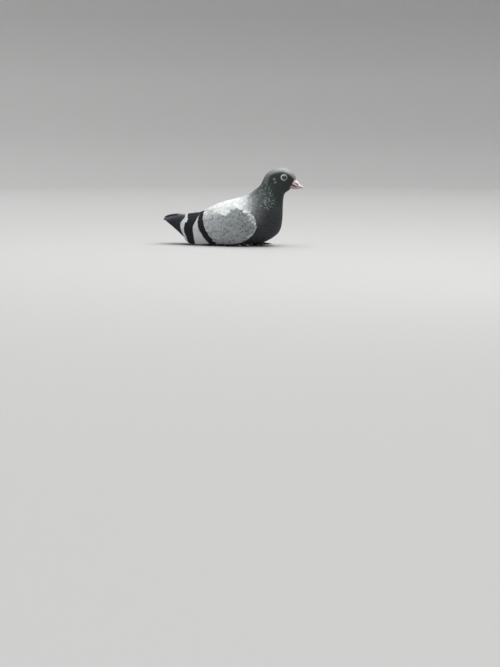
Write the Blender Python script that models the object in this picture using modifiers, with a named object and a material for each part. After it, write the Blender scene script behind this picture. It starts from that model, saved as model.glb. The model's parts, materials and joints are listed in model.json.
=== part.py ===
"""A life-size crouching pigeon, facing +X, with +Z up and its belly and feet on the ground at Z = 0.

Sizes in the tables are millimetres, and MM turns them into metres. The bird is one set of
rounded sections from the tail's root to the bill, parted into torso, neck and head. The wings,
tail, bill, eyes, legs and feet are pieces of their own, each set against what it grows from.
"""

import math

import bmesh
import bpy
import numpy as np
from mathutils import Matrix, Vector

MM = 0.001

# Driving dimensions, in millimetres.
TAIL_TIP_X = -139.0
GAP = 0.3
GROW = 0.4
SIDES = {"right": -1.0, "left": 1.0}

# Body sections: back point X, Z, then breast point X, Z, half-width, and how square it is below.
BODY_SECTIONS = {
    "tail root": (-90.0, 57.0, -88.0, 34.0, 18.0, 2.1),
    "rump": (-72.0, 59.5, -71.0, 20.0, 25.0, 2.2),
    "loin": (-50.0, 68.0, -50.0, 5.5, 33.5, 2.5),
    "hip": (-25.0, 80.0, -25.0, -1.8, 40.0, 2.9),
    "belly": (0.0, 86.8, 6.0, 0.8, 43.0, 2.9),
    "mantle": (20.0, 91.8, 34.0, 4.6, 44.5, 2.7),
    "shoulder": (32.0, 95.8, 60.0, 8.0, 43.5, 2.5),
    "crop": (41.0, 101.5, 80.0, 16.0, 40.5, 2.3),
    "breast": (48.0, 107.0, 91.0, 27.5, 36.5, 2.2),
    "collar": (53.5, 112.0, 95.2, 43.5, 31.5, 2.1),
    "neck foot": (57.5, 117.0, 96.6, 58.0, 27.0, 2.1),
    "neck": (60.5, 122.8, 97.4, 72.0, 23.8, 2.1),
    "nape": (64.0, 130.0, 98.4, 84.3, 21.3, 2.1),
    "jaw": (70.5, 137.8, 100.0, 93.0, 19.8, 2.1),
    "ear": (81.0, 143.8, 102.6, 98.4, 18.6, 2.1),
    "crown": (94.0, 146.8, 105.8, 101.2, 17.6, 2.1),
    "brow": (105.5, 145.6, 108.8, 103.0, 16.0, 2.0),
    "forehead": (114.8, 140.9, 110.8, 104.8, 12.9, 2.0),
    "lore": (121.2, 134.2, 112.4, 106.6, 9.4, 2.0),
    "bill root": (124.4, 127.4, 113.8, 108.8, 6.4, 2.0),
}
NECK_CUT = 9.5
HEAD_CUT = 13.0
RINGS_PER_SECTION = 2
BODY_SEGMENTS = 24
BACK_ROUNDNESS = 2.1

# Colours of the bird, as linear red, green and blue.
COLOURS = {
    "slate": (0.075, 0.095, 0.105),
    "pale_grey": (0.46, 0.50, 0.53),
    "neck_sheen": (0.055, 0.085, 0.085),
    "tail_black": (0.02, 0.022, 0.026),
    "horn": (0.42, 0.34, 0.33),
    "cere_white": (0.80, 0.75, 0.73),
    "eye_dark": (0.02, 0.012, 0.010),
    "eye_skin": (0.50, 0.50, 0.50),
    "foot_red": (0.33, 0.055, 0.05),
}


def clear_scene():
    for obj in list(bpy.data.objects):
        bpy.data.objects.remove(obj)


def new_collection(name):
    collection = bpy.data.collections.new(name)
    bpy.context.scene.collection.children.link(collection)
    return collection


def material(name, roughness=0.6, metallic=0.0):
    """A Principled material of a named colour."""
    made = bpy.data.materials.get(name) or bpy.data.materials.new(name)
    made.use_nodes = True
    shader = made.node_tree.nodes["Principled BSDF"]
    shader.inputs["Base Color"].default_value = (*COLOURS[name], 1.0)
    shader.inputs["Roughness"].default_value = roughness
    shader.inputs["Metallic"].default_value = metallic
    return made


def smooth_value(stops, values, at):
    """A smooth curve through values at the rising stops, read at one place."""
    stops = np.asarray(stops, float)
    values = np.asarray(values, float)
    at = float(np.clip(at, stops[0], stops[-1]))
    i = int(np.clip(np.searchsorted(stops, at) - 1, 0, len(stops) - 2))
    slopes = np.gradient(values, stops, axis=0)
    span = stops[i + 1] - stops[i]
    t = (at - stops[i]) / span
    start = (2 * t**3 - 3 * t**2 + 1) * values[i] + (t**3 - 2 * t**2 + t) * span * slopes[i]
    end = (3 * t**2 - 2 * t**3) * values[i + 1] + (t**3 - t**2) * span * slopes[i + 1]
    return start + end


def mesh_object(name, points_mm, faces, finish, collection):
    """A mesh object from points in millimetres, its faces turned outwards."""
    mesh = bpy.data.meshes.new(name)
    mesh.from_pydata([tuple(p) for p in np.asarray(points_mm) * MM], [], faces)
    body = bmesh.new()
    body.from_mesh(mesh)
    bmesh.ops.remove_doubles(body, verts=body.verts, dist=1e-6)
    bmesh.ops.recalc_face_normals(body, faces=body.faces)
    body.to_mesh(mesh)
    body.free()
    obj = bpy.data.objects.new(name, mesh)
    collection.objects.link(obj)
    if finish:
        mesh.materials.append(finish)
    return obj


def loft(name, rings_mm, finish, collection):
    """A closed solid through rings of points in millimetres, with a flat face at each end."""
    count = len(rings_mm[0])
    faces = []
    for i in range(len(rings_mm) - 1):
        for k in range(count):
            after = (k + 1) % count
            low, high = i * count, (i + 1) * count
            faces.append((low + k, low + after, high + after))
            faces.append((low + k, high + after, high + k))
    faces.append(tuple(range(count))[::-1])
    faces.append(tuple(range((len(rings_mm) - 1) * count, len(rings_mm) * count)))
    return mesh_object(name, np.concatenate(rings_mm), faces, finish, collection)


def power(value, exponent):
    return math.copysign(abs(value) ** exponent, value)


def body_ring(place, grow=0.0, shift=0.0):
    """Points of the body's section at a place counted in sections from the tail's root."""
    table = list(BODY_SECTIONS.values())
    section = smooth_value(range(len(table)), table, place)
    back_x, back_z, front_x, front_z, half, front_roundness = section
    back, front = np.array([back_x, 0.0, back_z]), np.array([front_x, 0.0, front_z])
    centre, up = (back + front) / 2, (back - front) / 2
    tall = np.linalg.norm(up)
    up = up / tall
    along = np.array([up[2], 0.0, -up[0]])
    ring = []
    for k in range(BODY_SEGMENTS):
        angle = 2 * math.pi * (k + 0.5) / BODY_SEGMENTS
        roundness = BACK_ROUNDNESS if angle < math.pi else front_roundness
        across = power(math.cos(angle), 2 / roundness) * (half + grow)
        height = power(math.sin(angle), 2 / roundness) * (tall + grow)
        ring.append(centre + up * height + np.array([0.0, across, 0.0]) + along * shift)
    return np.array(ring)


def body_part(name, first, last, finish, collection, grow=0.0, lengthen=0.0):
    """The body's loft between two places, drawn back from each cut by half a gap."""
    steps = max(1, round((last - first) * RINGS_PER_SECTION))
    places = [first + (last - first) * i / steps for i in range(steps + 1)]
    ends = len(BODY_SECTIONS) - 1
    rings = [body_ring(p, grow) for p in places]
    rings[0] = body_ring(first, grow, (GAP / 2 if first > 0 else 0.0) - lengthen)
    rings[-1] = body_ring(last, grow, (-GAP / 2 if last < ends else 0.0) + lengthen)
    return loft(name, rings, finish, collection)


def box(name, low_mm, high_mm, collection):
    """A box between two corners, in millimetres."""
    bpy.ops.mesh.primitive_cube_add(size=1.0)
    obj = bpy.context.object
    low, high = Vector(low_mm) * MM, Vector(high_mm) * MM
    obj.name = name
    obj.data.transform(Matrix.Diagonal((*(high - low), 1.0)))
    obj.data.transform(Matrix.Translation((low + high) / 2))
    move_to(obj, collection)
    return obj


def ellipsoid(name, centre_mm, radii_mm, segments, rings, finish, collection, turn=None):
    """A round solid of three radii, turned by a matrix about its own centre."""
    bpy.ops.mesh.primitive_uv_sphere_add(segments=segments, ring_count=rings, radius=1.0)
    obj = bpy.context.object
    obj.name = name
    obj.data.transform(Matrix.Diagonal((*(Vector(radii_mm) * MM), 1.0)))
    if turn:
        obj.data.transform(turn)
    obj.data.transform(Matrix.Translation(Vector(centre_mm) * MM))
    move_to(obj, collection)
    if finish:
        obj.data.materials.append(finish)
    return obj


def move_to(obj, collection):
    for old in list(obj.users_collection):
        old.objects.unlink(obj)
    collection.objects.link(obj)


def apply_modifiers(obj):
    """Replaces an object's mesh by its evaluated one and drops its modifiers."""
    graph = bpy.context.evaluated_depsgraph_get()
    made = bpy.data.meshes.new_from_object(obj.evaluated_get(graph))
    obj.modifiers.clear()
    obj.data = made
    return obj


def combine(obj, others, operation):
    """Joins or cuts obj with a list of closed meshes in one step, then removes them."""
    group = bpy.data.collections.new(obj.name + " " + operation.lower())
    bpy.context.scene.collection.children.link(group)
    for other in others:
        move_to(other, group)
    modifier = obj.modifiers.new(operation.title(), "BOOLEAN")
    modifier.operation = operation
    modifier.operand_type = "COLLECTION"
    modifier.collection = group
    modifier.solver = "EXACT"
    apply_modifiers(obj)
    for other in others:
        bpy.data.objects.remove(other)
    bpy.data.collections.remove(group)
    return keep_largest(obj)


def keep_largest(obj):
    """Keeps only the largest closed surface of a mesh, by the size of its box."""
    mesh = bmesh.new()
    mesh.from_mesh(obj.data)
    bmesh.ops.remove_doubles(mesh, verts=mesh.verts, dist=1e-7)
    groups, seen = [], set()
    for start in mesh.verts:
        if start in seen:
            continue
        seen.add(start)
        todo, group = [start], [start]
        while todo:
            for edge in todo.pop().link_edges:
                for vertex in edge.verts:
                    if vertex not in seen:
                        seen.add(vertex)
                        todo.append(vertex)
                        group.append(vertex)
        groups.append(group)

    def spread(group):
        points = np.array([v.co for v in group])
        return float(np.ptp(points, axis=0).sum())

    largest = max(groups, key=spread)
    for group in groups:
        if group is not largest:
            bmesh.ops.delete(mesh, geom=group, context="VERTS")
    mesh.to_mesh(obj.data)
    mesh.free()
    return obj


def round_shading(obj, degrees=35.0):
    obj.data.shade_smooth()
    obj.data.set_sharp_from_angle(angle=math.radians(degrees))


# Wing surface: at each X the wing runs from its lower edge, over a middle point, to its upper edge.
WING_SURFACE = {
    -134.0: (18.6, 45.0, 16.8, 49.6, 11.0, 53.4),
    -120.0: (21.0, 34.5, 20.4, 45.4, 12.5, 56.0),
    -110.0: (23.5, 26.0, 23.7, 41.5, 13.5, 57.6),
    -100.0: (26.3, 18.5, 27.0, 39.0, 12.5, 59.3),
    -90.0: (28.5, 12.5, 30.0, 36.5, 11.0, 59.0),
    -78.0: (30.5, 8.0, 33.0, 35.5, 9.5, 60.0),
    -60.0: (33.0, 6.4, 37.5, 36.5, 9.5, 61.8),
    -40.0: (35.0, 6.0, 41.5, 39.0, 12.0, 69.4),
    -20.0: (36.0, 5.6, 43.8, 41.5, 16.0, 76.6),
    0.0: (37.0, 5.4, 45.0, 42.5, 21.0, 81.6),
    20.0: (38.0, 6.5, 45.0, 42.5, 28.0, 79.5),
    36.0: (39.5, 10.5, 44.0, 42.5, 34.5, 72.5),
    48.0: (40.5, 17.5, 42.3, 43.0, 37.5, 65.0),
    57.0: (40.0, 27.0, 40.4, 44.5, 38.2, 58.5),
    62.5: (38.6, 41.0, 39.0, 46.0, 38.4, 51.0),
}
WING_FRONT_X = 62.5
# Wing layers, outer first: front X, rear X by share of the width, and outward and inward
# thickness from that surface by share of the way back.
WING_LAYERS = {
    "shield": {
        "front": WING_FRONT_X,
        "back": {0.0: -6.0, 0.5: -22.0, 1.0: -30.0},
        "outward": {0.0: 1.4, 0.12: 4.4, 0.3: 5.8, 0.7: 6.4, 1.0: 6.5},
        "inward": {0.0: 2.5, 0.12: 6.0, 0.5: 5.5, 1.0: 3.0},
        "rows": 10,
    },
    "under layer": {
        "front": 25.0,
        "back": {0.0: -38.0, 0.5: -56.0, 1.0: -62.0},
        "outward": {0.0: 1.0, 0.5: 3.2, 1.0: 3.2},
        "inward": {0.0: 2.0, 0.5: 4.5, 1.0: 4.5},
        "rows": 6,
    },
}
LAYER_COLUMNS = 8
LAYER_EDGE = 0.3
# Feather tiers, outer first. Roots and tips are X by share of the tier, from its lowest feather
# to its highest. Spread is where those two lie on the wing's width, lift is the tier's height
# over the wing's surface, and slant is how far each feather tilts like a roof tile, all by X.
WING_TIERS = {
    "covert": {
        "count": 9,
        "roots": {0.0: 4.0, 0.5: -13.0, 1.0: -20.0},
        "tips": {0.0: -30.0, 0.5: -47.0, 1.0: -54.0},
        "spread": {-60.0: (0.07, 0.93), 30.0: (0.12, 0.80)},
        "lift": {-60.0: 4.9, 30.0: 4.9},
        "slant": {-60.0: 1.0, 30.0: 1.0},
        "half_width": 8.0,
        "step": 1.1,
    },
    "secondary": {
        "count": 9,
        "roots": {0.0: -28.0, 0.5: -46.0, 1.0: -52.0},
        "tips": {0.0: -62.0, 0.3: -78.0, 0.7: -84.0, 1.0: -86.0},
        "spread": {-90.0: (0.05, 0.94), -20.0: (0.06, 0.90)},
        "lift": {-90.0: 1.6, -20.0: 1.6},
        "slant": {-90.0: 1.0, -20.0: 1.0},
        "half_width": 7.6,
        "step": 1.1,
    },
    "primary": {
        "count": 7,
        "roots": {0.0: -32.0, 1.0: -47.0},
        "tips": {0.0: -132.0, 0.17: -127.0, 0.5: -113.5, 1.0: -93.0},
        "spread": {
            -134.0: (0.50, 0.501), -120.0: (0.30, 0.80), -110.0: (0.20, 0.82),
            -90.0: (0.12, 0.78), -58.0: (0.10, 0.58), -30.0: (0.10, 0.50),
        },
        "lift": {-134.0: 5.4, -120.0: 2.6, -105.0: 0.0, -88.0: -1.7, -30.0: -1.7},
        "slant": {-134.0: 0.0, -105.0: 0.0, -95.0: 0.3, -80.0: 0.8, -65.0: 1.0, -30.0: 1.0},
        "half_width": 6.4,
        "step": 0.95,
    },
}
# Feather outline: share of the way to the tip, and share of the full width there.
VANE_OUTLINE = {0.0: 0.7, 0.3: 1.0, 0.6: 1.0, 0.86: 0.84, 1.0: 0.4}
VANE_THICKNESS = 0.6
VANE_POINT = 1.4
VANE_RIDGE = 0.2
ROOT_DIVE = 1.6


def by_x(table, x):
    return smooth_value(list(table), list(table.values()), x)


def wing_point(x, across):
    """A point of the right wing's surface: across is 0 at the lower edge and 1 at the upper one."""
    low_y, low_z, mid_y, mid_z, top_y, top_z = by_x(WING_SURFACE, x)
    low, mid, top = np.array([low_y, low_z]), np.array([mid_y, mid_z]), np.array([top_y, top_z])
    bulge = 2 * mid - (low + top) / 2
    y, z = (1 - across) ** 2 * low + 2 * across * (1 - across) * bulge + across**2 * top
    return np.array([x, -y, z])


def wing_normal(x, across):
    """The outward direction of the right wing's surface."""
    step = 0.5
    lengthwise = wing_point(x + step, across) - wing_point(x - step, across)
    crosswise = wing_point(x, across + 0.01) - wing_point(x, across - 0.01)
    normal = np.cross(lengthwise, crosswise)
    normal *= math.copysign(1.0, -normal[1])
    return normal / np.linalg.norm(normal)


def wing_lifted(x, across, lift):
    return wing_point(x, across) + wing_normal(x, across) * lift


def wing_width(x):
    """The length of the wing's surface from its lower edge to its upper one."""
    points = [wing_point(x, i / 8) for i in range(9)]
    return sum(np.linalg.norm(b - a) for a, b in zip(points, points[1:]))


def wing_layer(name, layer, finish, collection):
    """A closed shell over the right wing's surface, from a front X back to a slanting end."""
    rings = []
    across = [0.5 - 0.5 * math.cos(math.pi * k / (LAYER_COLUMNS - 1)) for k in range(LAYER_COLUMNS)]
    full = [max(LAYER_EDGE, 1 - min(1.0, abs(2 * a - 1)) ** 6) for a in across]
    for i in range(layer["rows"] + 1):
        t = i / layer["rows"]
        outward, inward = by_x(layer["outward"], t), by_x(layer["inward"], t)
        places = [layer["front"] + (by_x(layer["back"], a) - layer["front"]) * t for a in across]
        outer = [wing_lifted(x, a, outward * f) for x, a, f in zip(places, across, full)]
        inner = [wing_lifted(x, a, -inward * f) for x, a, f in zip(places, across, full)]
        rings.append(np.array(outer + inner[::-1]))
    return loft(name, rings, finish, collection)


def sheet(name, rows_mm, collection):
    """A thin closed vane from rows of points, with the same triangles on both faces."""
    wide = len(rows_mm[0])
    faces = []
    for i in range(len(rows_mm) - 1):
        for k in range(wide - 1):
            low, high = i * wide + k, (i + 1) * wide + k
            faces.append((low, low + 1, high + 1))
            faces.append((low, high + 1, high))
    obj = mesh_object(name, np.array([p for row in rows_mm for p in row]), faces, None, collection)
    wall = obj.modifiers.new("Thickness", "SOLIDIFY")
    wall.thickness = VANE_THICKNESS * MM
    wall.offset = 0.0
    return apply_modifiers(obj)


def wing_vane(name, tier, index, collection):
    """One flight feather or covert of the right wing, lying over the one below it."""
    share = index / (tier["count"] - 1)
    root, tip = by_x(tier["roots"], share), by_x(tier["tips"], share)
    rows = []
    for t, full in VANE_OUTLINE.items():
        row = []
        for side in (-1, 0, 1):
            x = root + (tip - root) * t
            if side == 0 and t == 1:
                x -= VANE_POINT
            low, high = by_x(tier["spread"], x)
            across = low + share * (high - low) + side * full * tier["half_width"] / wing_width(x)
            slant = by_x(tier["slant"], x)
            tile = slant * (across - low) / (high - low) if slant else 0.0
            layers = (tier["count"] - 1) * (share - tile - (1 - slant))
            lift = by_x(tier["lift"], x) + tier["step"] * layers
            lift += VANE_RIDGE * (side == 0) - ROOT_DIVE * (t == 0)
            row.append(wing_lifted(x, across, lift))
        rows.append(row)
    return sheet(name, rows, collection)


def mirrored(obj, name, collection):
    """A copy of a right-hand piece turned into the left-hand one."""
    made = obj.copy()
    made.data = obj.data.copy()
    made.name = name
    made.data.transform(Matrix.Diagonal((1.0, -1.0, 1.0, 1.0)))
    made.data.flip_normals()
    collection.objects.link(made)
    return made


def make_wings(collection, helpers):
    """Both wings: layers of coverts with tiers of flight feathers rooted in them."""
    finish = material("pale_grey", 0.6)
    right = wing_layer("wing_right", WING_LAYERS["shield"], finish, collection)
    pieces = [wing_layer("under layer", WING_LAYERS["under layer"], None, helpers)]
    for name, tier in WING_TIERS.items():
        pieces += [wing_vane(f"{name} {i}", tier, i, helpers) for i in range(tier["count"])]
    combine(right, pieces, "UNION")
    torso = body_part("torso grown", 0, NECK_CUT, None, helpers, GROW, 3.0)
    neck = body_part("neck grown", NECK_CUT, HEAD_CUT, None, helpers, GROW, 3.0)
    combine(right, [torso, neck], "DIFFERENCE")
    round_shading(right)
    mirrored(right, "wing_left", collection)


# Tail: its own surface arches across and bends down towards the tip.
TAIL_HEIGHT = {-139.0: 49.6, -133.0: 52.8, -124.0: 55.6, -112.0: 57.0, -101.0: 57.2, -90.0: 56.6}
TAIL_HALF_WIDTH = {-139.0: 18.0, -133.0: 17.2, -124.0: 15.6, -112.0: 14.4, -101.0: 14.2, -90.0: 17.0}
TAIL_ARCH = 7.0
TAIL_ARCH_WIDTH = 20.0
# Tail coverts: at each X the height of the upper and the lower surface over the tail's surface.
TAIL_COVERTS = {-90.4: (1.0, -20.0), -98.0: (1.3, -16.5), -106.0: (1.0, -13.5)}
UNDER_COVERTS = {-100.0: (-9.0, -15.0), -112.0: (-8.8, -12.4), -124.0: (-8.8, -10.4)}
TAIL_LAYER_COLUMNS = 9
TAIL_LAYER_ROWS = 5
TAIL_PAIRS = 6
TAIL_ROOT_X = -96.0
TAIL_MIDDLE_STACK = 3
TAIL_VANE_HALF = 6.5
TAIL_FIRST_Y = 1.2
TAIL_STEP_Y = 1.9
TAIL_STEP = 0.95
TAIL_ROUNDED = 0.35


def tail_point(x, y, lift=0.0):
    """A point of the tail's surface at a distance y to the left of the middle."""
    height = by_x(TAIL_HEIGHT, x) - TAIL_ARCH * (y / TAIL_ARCH_WIDTH) ** 2
    return np.array([x, y, height + lift])


def tail_layer(name, table, finish, collection):
    """A closed rounded layer of coverts between two heights over the tail's surface."""
    first, last = max(table), min(table)
    rising = dict(sorted(table.items()))
    columns = TAIL_LAYER_COLUMNS
    turns = [math.pi * (k + 0.5) / columns for k in range(columns)]
    rings = []
    for i in range(TAIL_LAYER_ROWS + 1):
        x = first + (last - first) * i / TAIL_LAYER_ROWS
        upper, lower = by_x(rising, x)
        half = by_x(TAIL_HALF_WIDTH, x)
        middle, deep = (upper + lower) / 2, (upper - lower) / 2
        top = [(half * math.cos(a), middle + deep * abs(math.sin(a)) ** 0.5) for a in turns]
        belly = [(half * math.cos(a), middle - deep * abs(math.sin(a)) ** 0.9) for a in turns]
        rings.append(np.array([tail_point(x, y, lift) for y, lift in top + belly[::-1]]))
    return loft(name, rings, finish, collection)


def tail_vane(name, side, pair, collection):
    """One tail feather: the middle pair lies on top, and each next one lies under it."""
    level = 2 * pair + (side > 0) if pair < TAIL_MIDDLE_STACK else TAIL_MIDDLE_STACK + pair
    tip = TAIL_TIP_X + VANE_POINT + TAIL_ROUNDED * pair
    rows = []
    for t, full in VANE_OUTLINE.items():
        row = []
        for edge in (-1, 0, 1):
            x = TAIL_ROOT_X + (tip - TAIL_ROOT_X) * t
            if edge == 0 and t == 1:
                x -= VANE_POINT
            scale = by_x(TAIL_HALF_WIDTH, x) / by_x(TAIL_HALF_WIDTH, -133.0)
            y = side * (TAIL_FIRST_Y + TAIL_STEP_Y * pair) + edge * full * TAIL_VANE_HALF
            row.append(tail_point(x, y * scale, VANE_RIDGE * (edge == 0) - TAIL_STEP * level))
        rows.append(row)
    return sheet(name, rows, collection)


def make_tail(collection, helpers):
    """The tail: coverts above and below the roots, and a fan of closed feathers."""
    tail = tail_layer("tail", TAIL_COVERTS, material("tail_black", 0.6), collection)
    pieces = [tail_layer("under coverts", UNDER_COVERTS, None, helpers)]
    for pair in range(TAIL_PAIRS):
        for word, side in SIDES.items():
            pieces.append(tail_vane(f"tail feather {word} {pair}", side, pair, helpers))
    combine(tail, pieces, "UNION")
    torso = body_part("torso grown", 0, NECK_CUT, None, helpers, GROW, GAP)
    combine(tail, [torso], "DIFFERENCE")
    round_shading(tail)


# Bill: the cutting edge's height by X, then rows from root to tip.
TOMIUM = {
    113.0: 118.2, 117.0: 117.7, 121.0: 116.1, 124.5: 113.9, 127.5: 112.4, 131.0: 111.3, 136.0: 110.0,
    139.8: 108.5,
}
# Each row of the upper bill is its ridge point X, Z, the X of its cutting edge, and the half-width.
UPPER_BILL = {
    "root": (121.8, 123.0, 117.0, 5.2),
    "nostril": (125.9, 119.1, 121.6, 4.6),
    "middle": (130.9, 116.5, 126.8, 3.7),
    "hook": (135.5, 113.8, 132.0, 2.6),
    "bend": (138.7, 111.4, 136.4, 1.6),
    "tip": (140.3, 109.1, 139.4, 0.5),
}
# Each row of the lower bill is its keel point X, Z, the X of its cutting edge, and the half-width.
LOWER_BILL = {
    "root": (113.6, 107.9, 117.0, 4.7),
    "middle": (121.6, 107.0, 123.6, 3.9),
    "front": (129.6, 107.3, 130.6, 2.7),
    "tip": (136.6, 108.8, 137.0, 0.6),
}
MOUTH_GAP = 0.4
BILL_SEGMENTS = 14


def bill_ring(row, drop, grow=0.0):
    """A half-round section between the bill's cutting edge and its ridge or keel."""
    peak_x, peak_z, edge_x, half = row
    edge = np.array([edge_x, 0.0, by_x(TOMIUM, edge_x) - drop])
    rise = np.array([peak_x, 0.0, peak_z]) - edge
    rise = rise * (1 + grow / max(np.linalg.norm(rise), 0.1))
    ring = []
    for k in range(BILL_SEGMENTS):
        angle = math.pi * k / (BILL_SEGMENTS - 1)
        side = np.array([0.0, math.cos(angle) * (half + grow), 0.0])
        ring.append(edge + side + rise * abs(math.sin(angle)) ** 0.8)
    return np.array(ring)


def bill_part(name, table, drop, finish, collection, grow=0.0):
    rows = list(table.values())
    steps = (len(rows) - 1) * 2
    rings = []
    for i in range(steps + 1):
        row = smooth_value(range(len(rows)), rows, (len(rows) - 1) * i / steps)
        rings.append(bill_ring(row, drop, grow))
    return loft(name, rings, finish, collection)


# Cere: two pale swollen flaps on the root of the upper bill.
CERE_CENTRE = (125.4, 2.1, 119.2)
CERE_RADII = (5.8, 2.9, 2.9)
CERE_SLOPE = 38.0
NOSTRIL_CENTRE = (127.2, 4.6, 116.8)
NOSTRIL_RADII = (2.6, 1.2, 0.6)


def cere_lobe(name, side, finish, collection, grow=0.0):
    turn = Matrix.Rotation(math.radians(CERE_SLOPE), 4, "Y")
    x, y, z = CERE_CENTRE
    radii = [r + grow for r in CERE_RADII]
    return ellipsoid(name, (x, side * y, z), radii, 12, 8, finish, collection, turn)


def make_bill(collection, helpers):
    upper = bill_part("bill_upper", UPPER_BILL, 0.0, material("horn", 0.4), collection)
    lower = bill_part("bill_lower", LOWER_BILL, MOUTH_GAP, material("horn", 0.4), collection)
    head = [head_grown(helpers) for _ in range(3)]
    combine(upper, [head[0]], "DIFFERENCE")
    combine(lower, [head[1]], "DIFFERENCE")
    cere = cere_lobe("cere", -1.0, material("cere_white", 0.6), collection)
    combine(cere, [cere_lobe("cere lobe", 1.0, None, helpers)], "UNION")
    turn = Matrix.Rotation(math.radians(CERE_SLOPE), 4, "Y")
    x, y, z = NOSTRIL_CENTRE
    cutters = [bill_part("upper bill grown", UPPER_BILL, 0.0, None, helpers, GAP), head[2]]
    for side in SIDES.values():
        place = (x, side * y, z)
        cutters.append(ellipsoid("nostril", place, NOSTRIL_RADII, 10, 6, None, helpers, turn))
    combine(cere, cutters, "DIFFERENCE")
    for piece in (upper, lower, cere):
        round_shading(piece)


def head_grown(helpers):
    last = len(BODY_SECTIONS) - 1
    return body_part("head grown", HEAD_CUT - 0.5, last, None, helpers, GROW, GAP)


# Eye: the ball, and the ring of bare skin round it.
EYE_CENTRE = (105.2, 10.9, 128.2)
EYE_RADIUS = 5.4
EYE_FORWARD_TURN = 24.0
EYE_UPWARD_TURN = 6.0
RING_RADIUS = 5.3
RING_THICKNESS = 1.3
RING_OUTWARD = 3.4


def eye_direction(side):
    forward, upward = math.radians(EYE_FORWARD_TURN), math.radians(EYE_UPWARD_TURN)
    flat = Vector((math.sin(forward), side * math.cos(forward), 0.0))
    return (flat * math.cos(upward) + Vector((0, 0, math.sin(upward)))).normalized()


def eye_centre(side):
    x, y, z = EYE_CENTRE
    return Vector((x, side * y, z))


def eye_ball(name, side, finish, collection, grow=0.0):
    radius = EYE_RADIUS + grow
    turn = eye_direction(side).to_track_quat("Z", "Y").to_matrix().to_4x4()
    return ellipsoid(name, eye_centre(side), (radius,) * 3, 18, 10, finish, collection, turn)


def eyelids(name, side, finish, collection, grow=0.0):
    """A flattened ring of skin that lies on the head round the eye."""
    bpy.ops.mesh.primitive_torus_add(
        major_segments=20,
        minor_segments=6,
        major_radius=RING_RADIUS * MM,
        minor_radius=(RING_THICKNESS + grow) * MM,
    )
    obj = bpy.context.object
    obj.name = name
    direction = eye_direction(side)
    obj.data.transform(direction.to_track_quat("Z", "Y").to_matrix().to_4x4())
    obj.data.transform(Matrix.Translation((eye_centre(side) + direction * RING_OUTWARD) * MM))
    move_to(obj, collection)
    if finish:
        obj.data.materials.append(finish)
    return obj


def make_head(collection, helpers):
    last = len(BODY_SECTIONS) - 1
    head = body_part("head", HEAD_CUT, last, material("slate", 0.6), collection)
    sockets = []
    for word, side in SIDES.items():
        sockets.append(eye_ball("eye socket", side, None, helpers, GAP))
        sockets.append(eyelids("ring seat", side, None, helpers, GAP))
        eye_ball("eye_" + word, side, material("eye_dark", 0.1), collection)
        ring = eyelids("eyelids_" + word, side, material("eye_skin", 0.6), collection)
        combine(ring, [eye_ball("eye grown", side, None, helpers, GAP)], "DIFFERENCE")
        round_shading(ring)
    combine(head, sockets, "DIFFERENCE")
    round_shading(head)


# Legs and feet, for each side: where the toes join, and how the leg leans back from there.
FOOT_JOINT = {"right": (9.0, 24.0), "left": (35.0, 24.0)}
TOE_HEIGHT = 1.9
BELLY_REST_X = -12.0
BELLY_OVER_FEET = 5.8
ANKLE_OFFSET = (-26.0, 1.0, 15.0)
LEG_RADIUS = 2.4
ANKLE_RADIUS = 3.6
# Toes: heading outwards in degrees, length, and radius at the root.
TOES = {
    "inner": (-26.0, 21.0, 2.2),
    "middle": (6.0, 28.5, 2.4),
    "outer": (36.0, 21.0, 2.2),
    "hind": (176.0, 12.5, 2.0),
}
TOE_SWELL = (1.0, 0.86, 1.0, 0.78, 0.9, 0.72)
TOE_TAPER = 0.12
TOE_ARCH = 1.1
CLAW_LENGTH = 6.5
# Claw points: share of its length, radius, and height over the toe's middle line.
CLAW_POINTS = ((0.45, 1.15, 0.4), (1.0, 0.4, -0.75))
PAD_RADII = (4.2, 4.2, 2.6)


def tube(name, path_mm, radii_mm, finish, collection, resolution=1):
    """A round tapered tube through a few points, as a closed mesh."""
    curve = bpy.data.curves.new(name, "CURVE")
    curve.dimensions = "3D"
    curve.bevel_depth = MM
    curve.bevel_resolution = resolution
    curve.use_fill_caps = True
    line = curve.splines.new("POLY")
    line.points.add(len(path_mm) - 1)
    for point, place, radius in zip(line.points, path_mm, radii_mm):
        point.co = (*(Vector(place) * MM), 1.0)
        point.radius = radius
    obj = bpy.data.objects.new(name, curve)
    collection.objects.link(obj)
    graph = bpy.context.evaluated_depsgraph_get()
    mesh = bpy.data.meshes.new_from_object(obj.evaluated_get(graph))
    body = bmesh.new()
    body.from_mesh(mesh)
    bmesh.ops.remove_doubles(body, verts=body.verts, dist=1e-6)
    bmesh.ops.recalc_face_normals(body, faces=body.faces)
    body.to_mesh(mesh)
    body.free()
    bpy.data.objects.remove(obj)
    made = bpy.data.objects.new(name, mesh)
    collection.objects.link(made)
    if finish:
        mesh.materials.clear()
        mesh.materials.append(finish)
    return made


def toe(name, word, toe_name, finish, collection):
    """One toe with its claw: pads swell along it and the claw curves down to the ground."""
    side = SIDES[word]
    heading, length, root = TOES[toe_name]
    joint_x, joint_y = FOOT_JOINT[word]
    angle = math.radians(heading)
    forward = Vector((math.cos(angle), side * math.sin(angle), 0.0))
    start = Vector((joint_x, side * joint_y, TOE_HEIGHT))
    path, radii = [], []
    for i, share in enumerate(TOE_SWELL):
        t = i / (len(TOE_SWELL) - 1)
        arch = TOE_ARCH * math.sin(math.pi * t)
        path.append(start + forward * (length * t) + Vector((0, 0, arch)))
        radii.append(root * share * (1 - TOE_TAPER * t))
    claw_start = path[-1]
    for t, radius, height in CLAW_POINTS:
        path.append(claw_start + forward * (CLAW_LENGTH * t) + Vector((0, 0, height)))
        radii.append(radius)
    return tube(name, path, radii, finish, collection)


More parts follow.
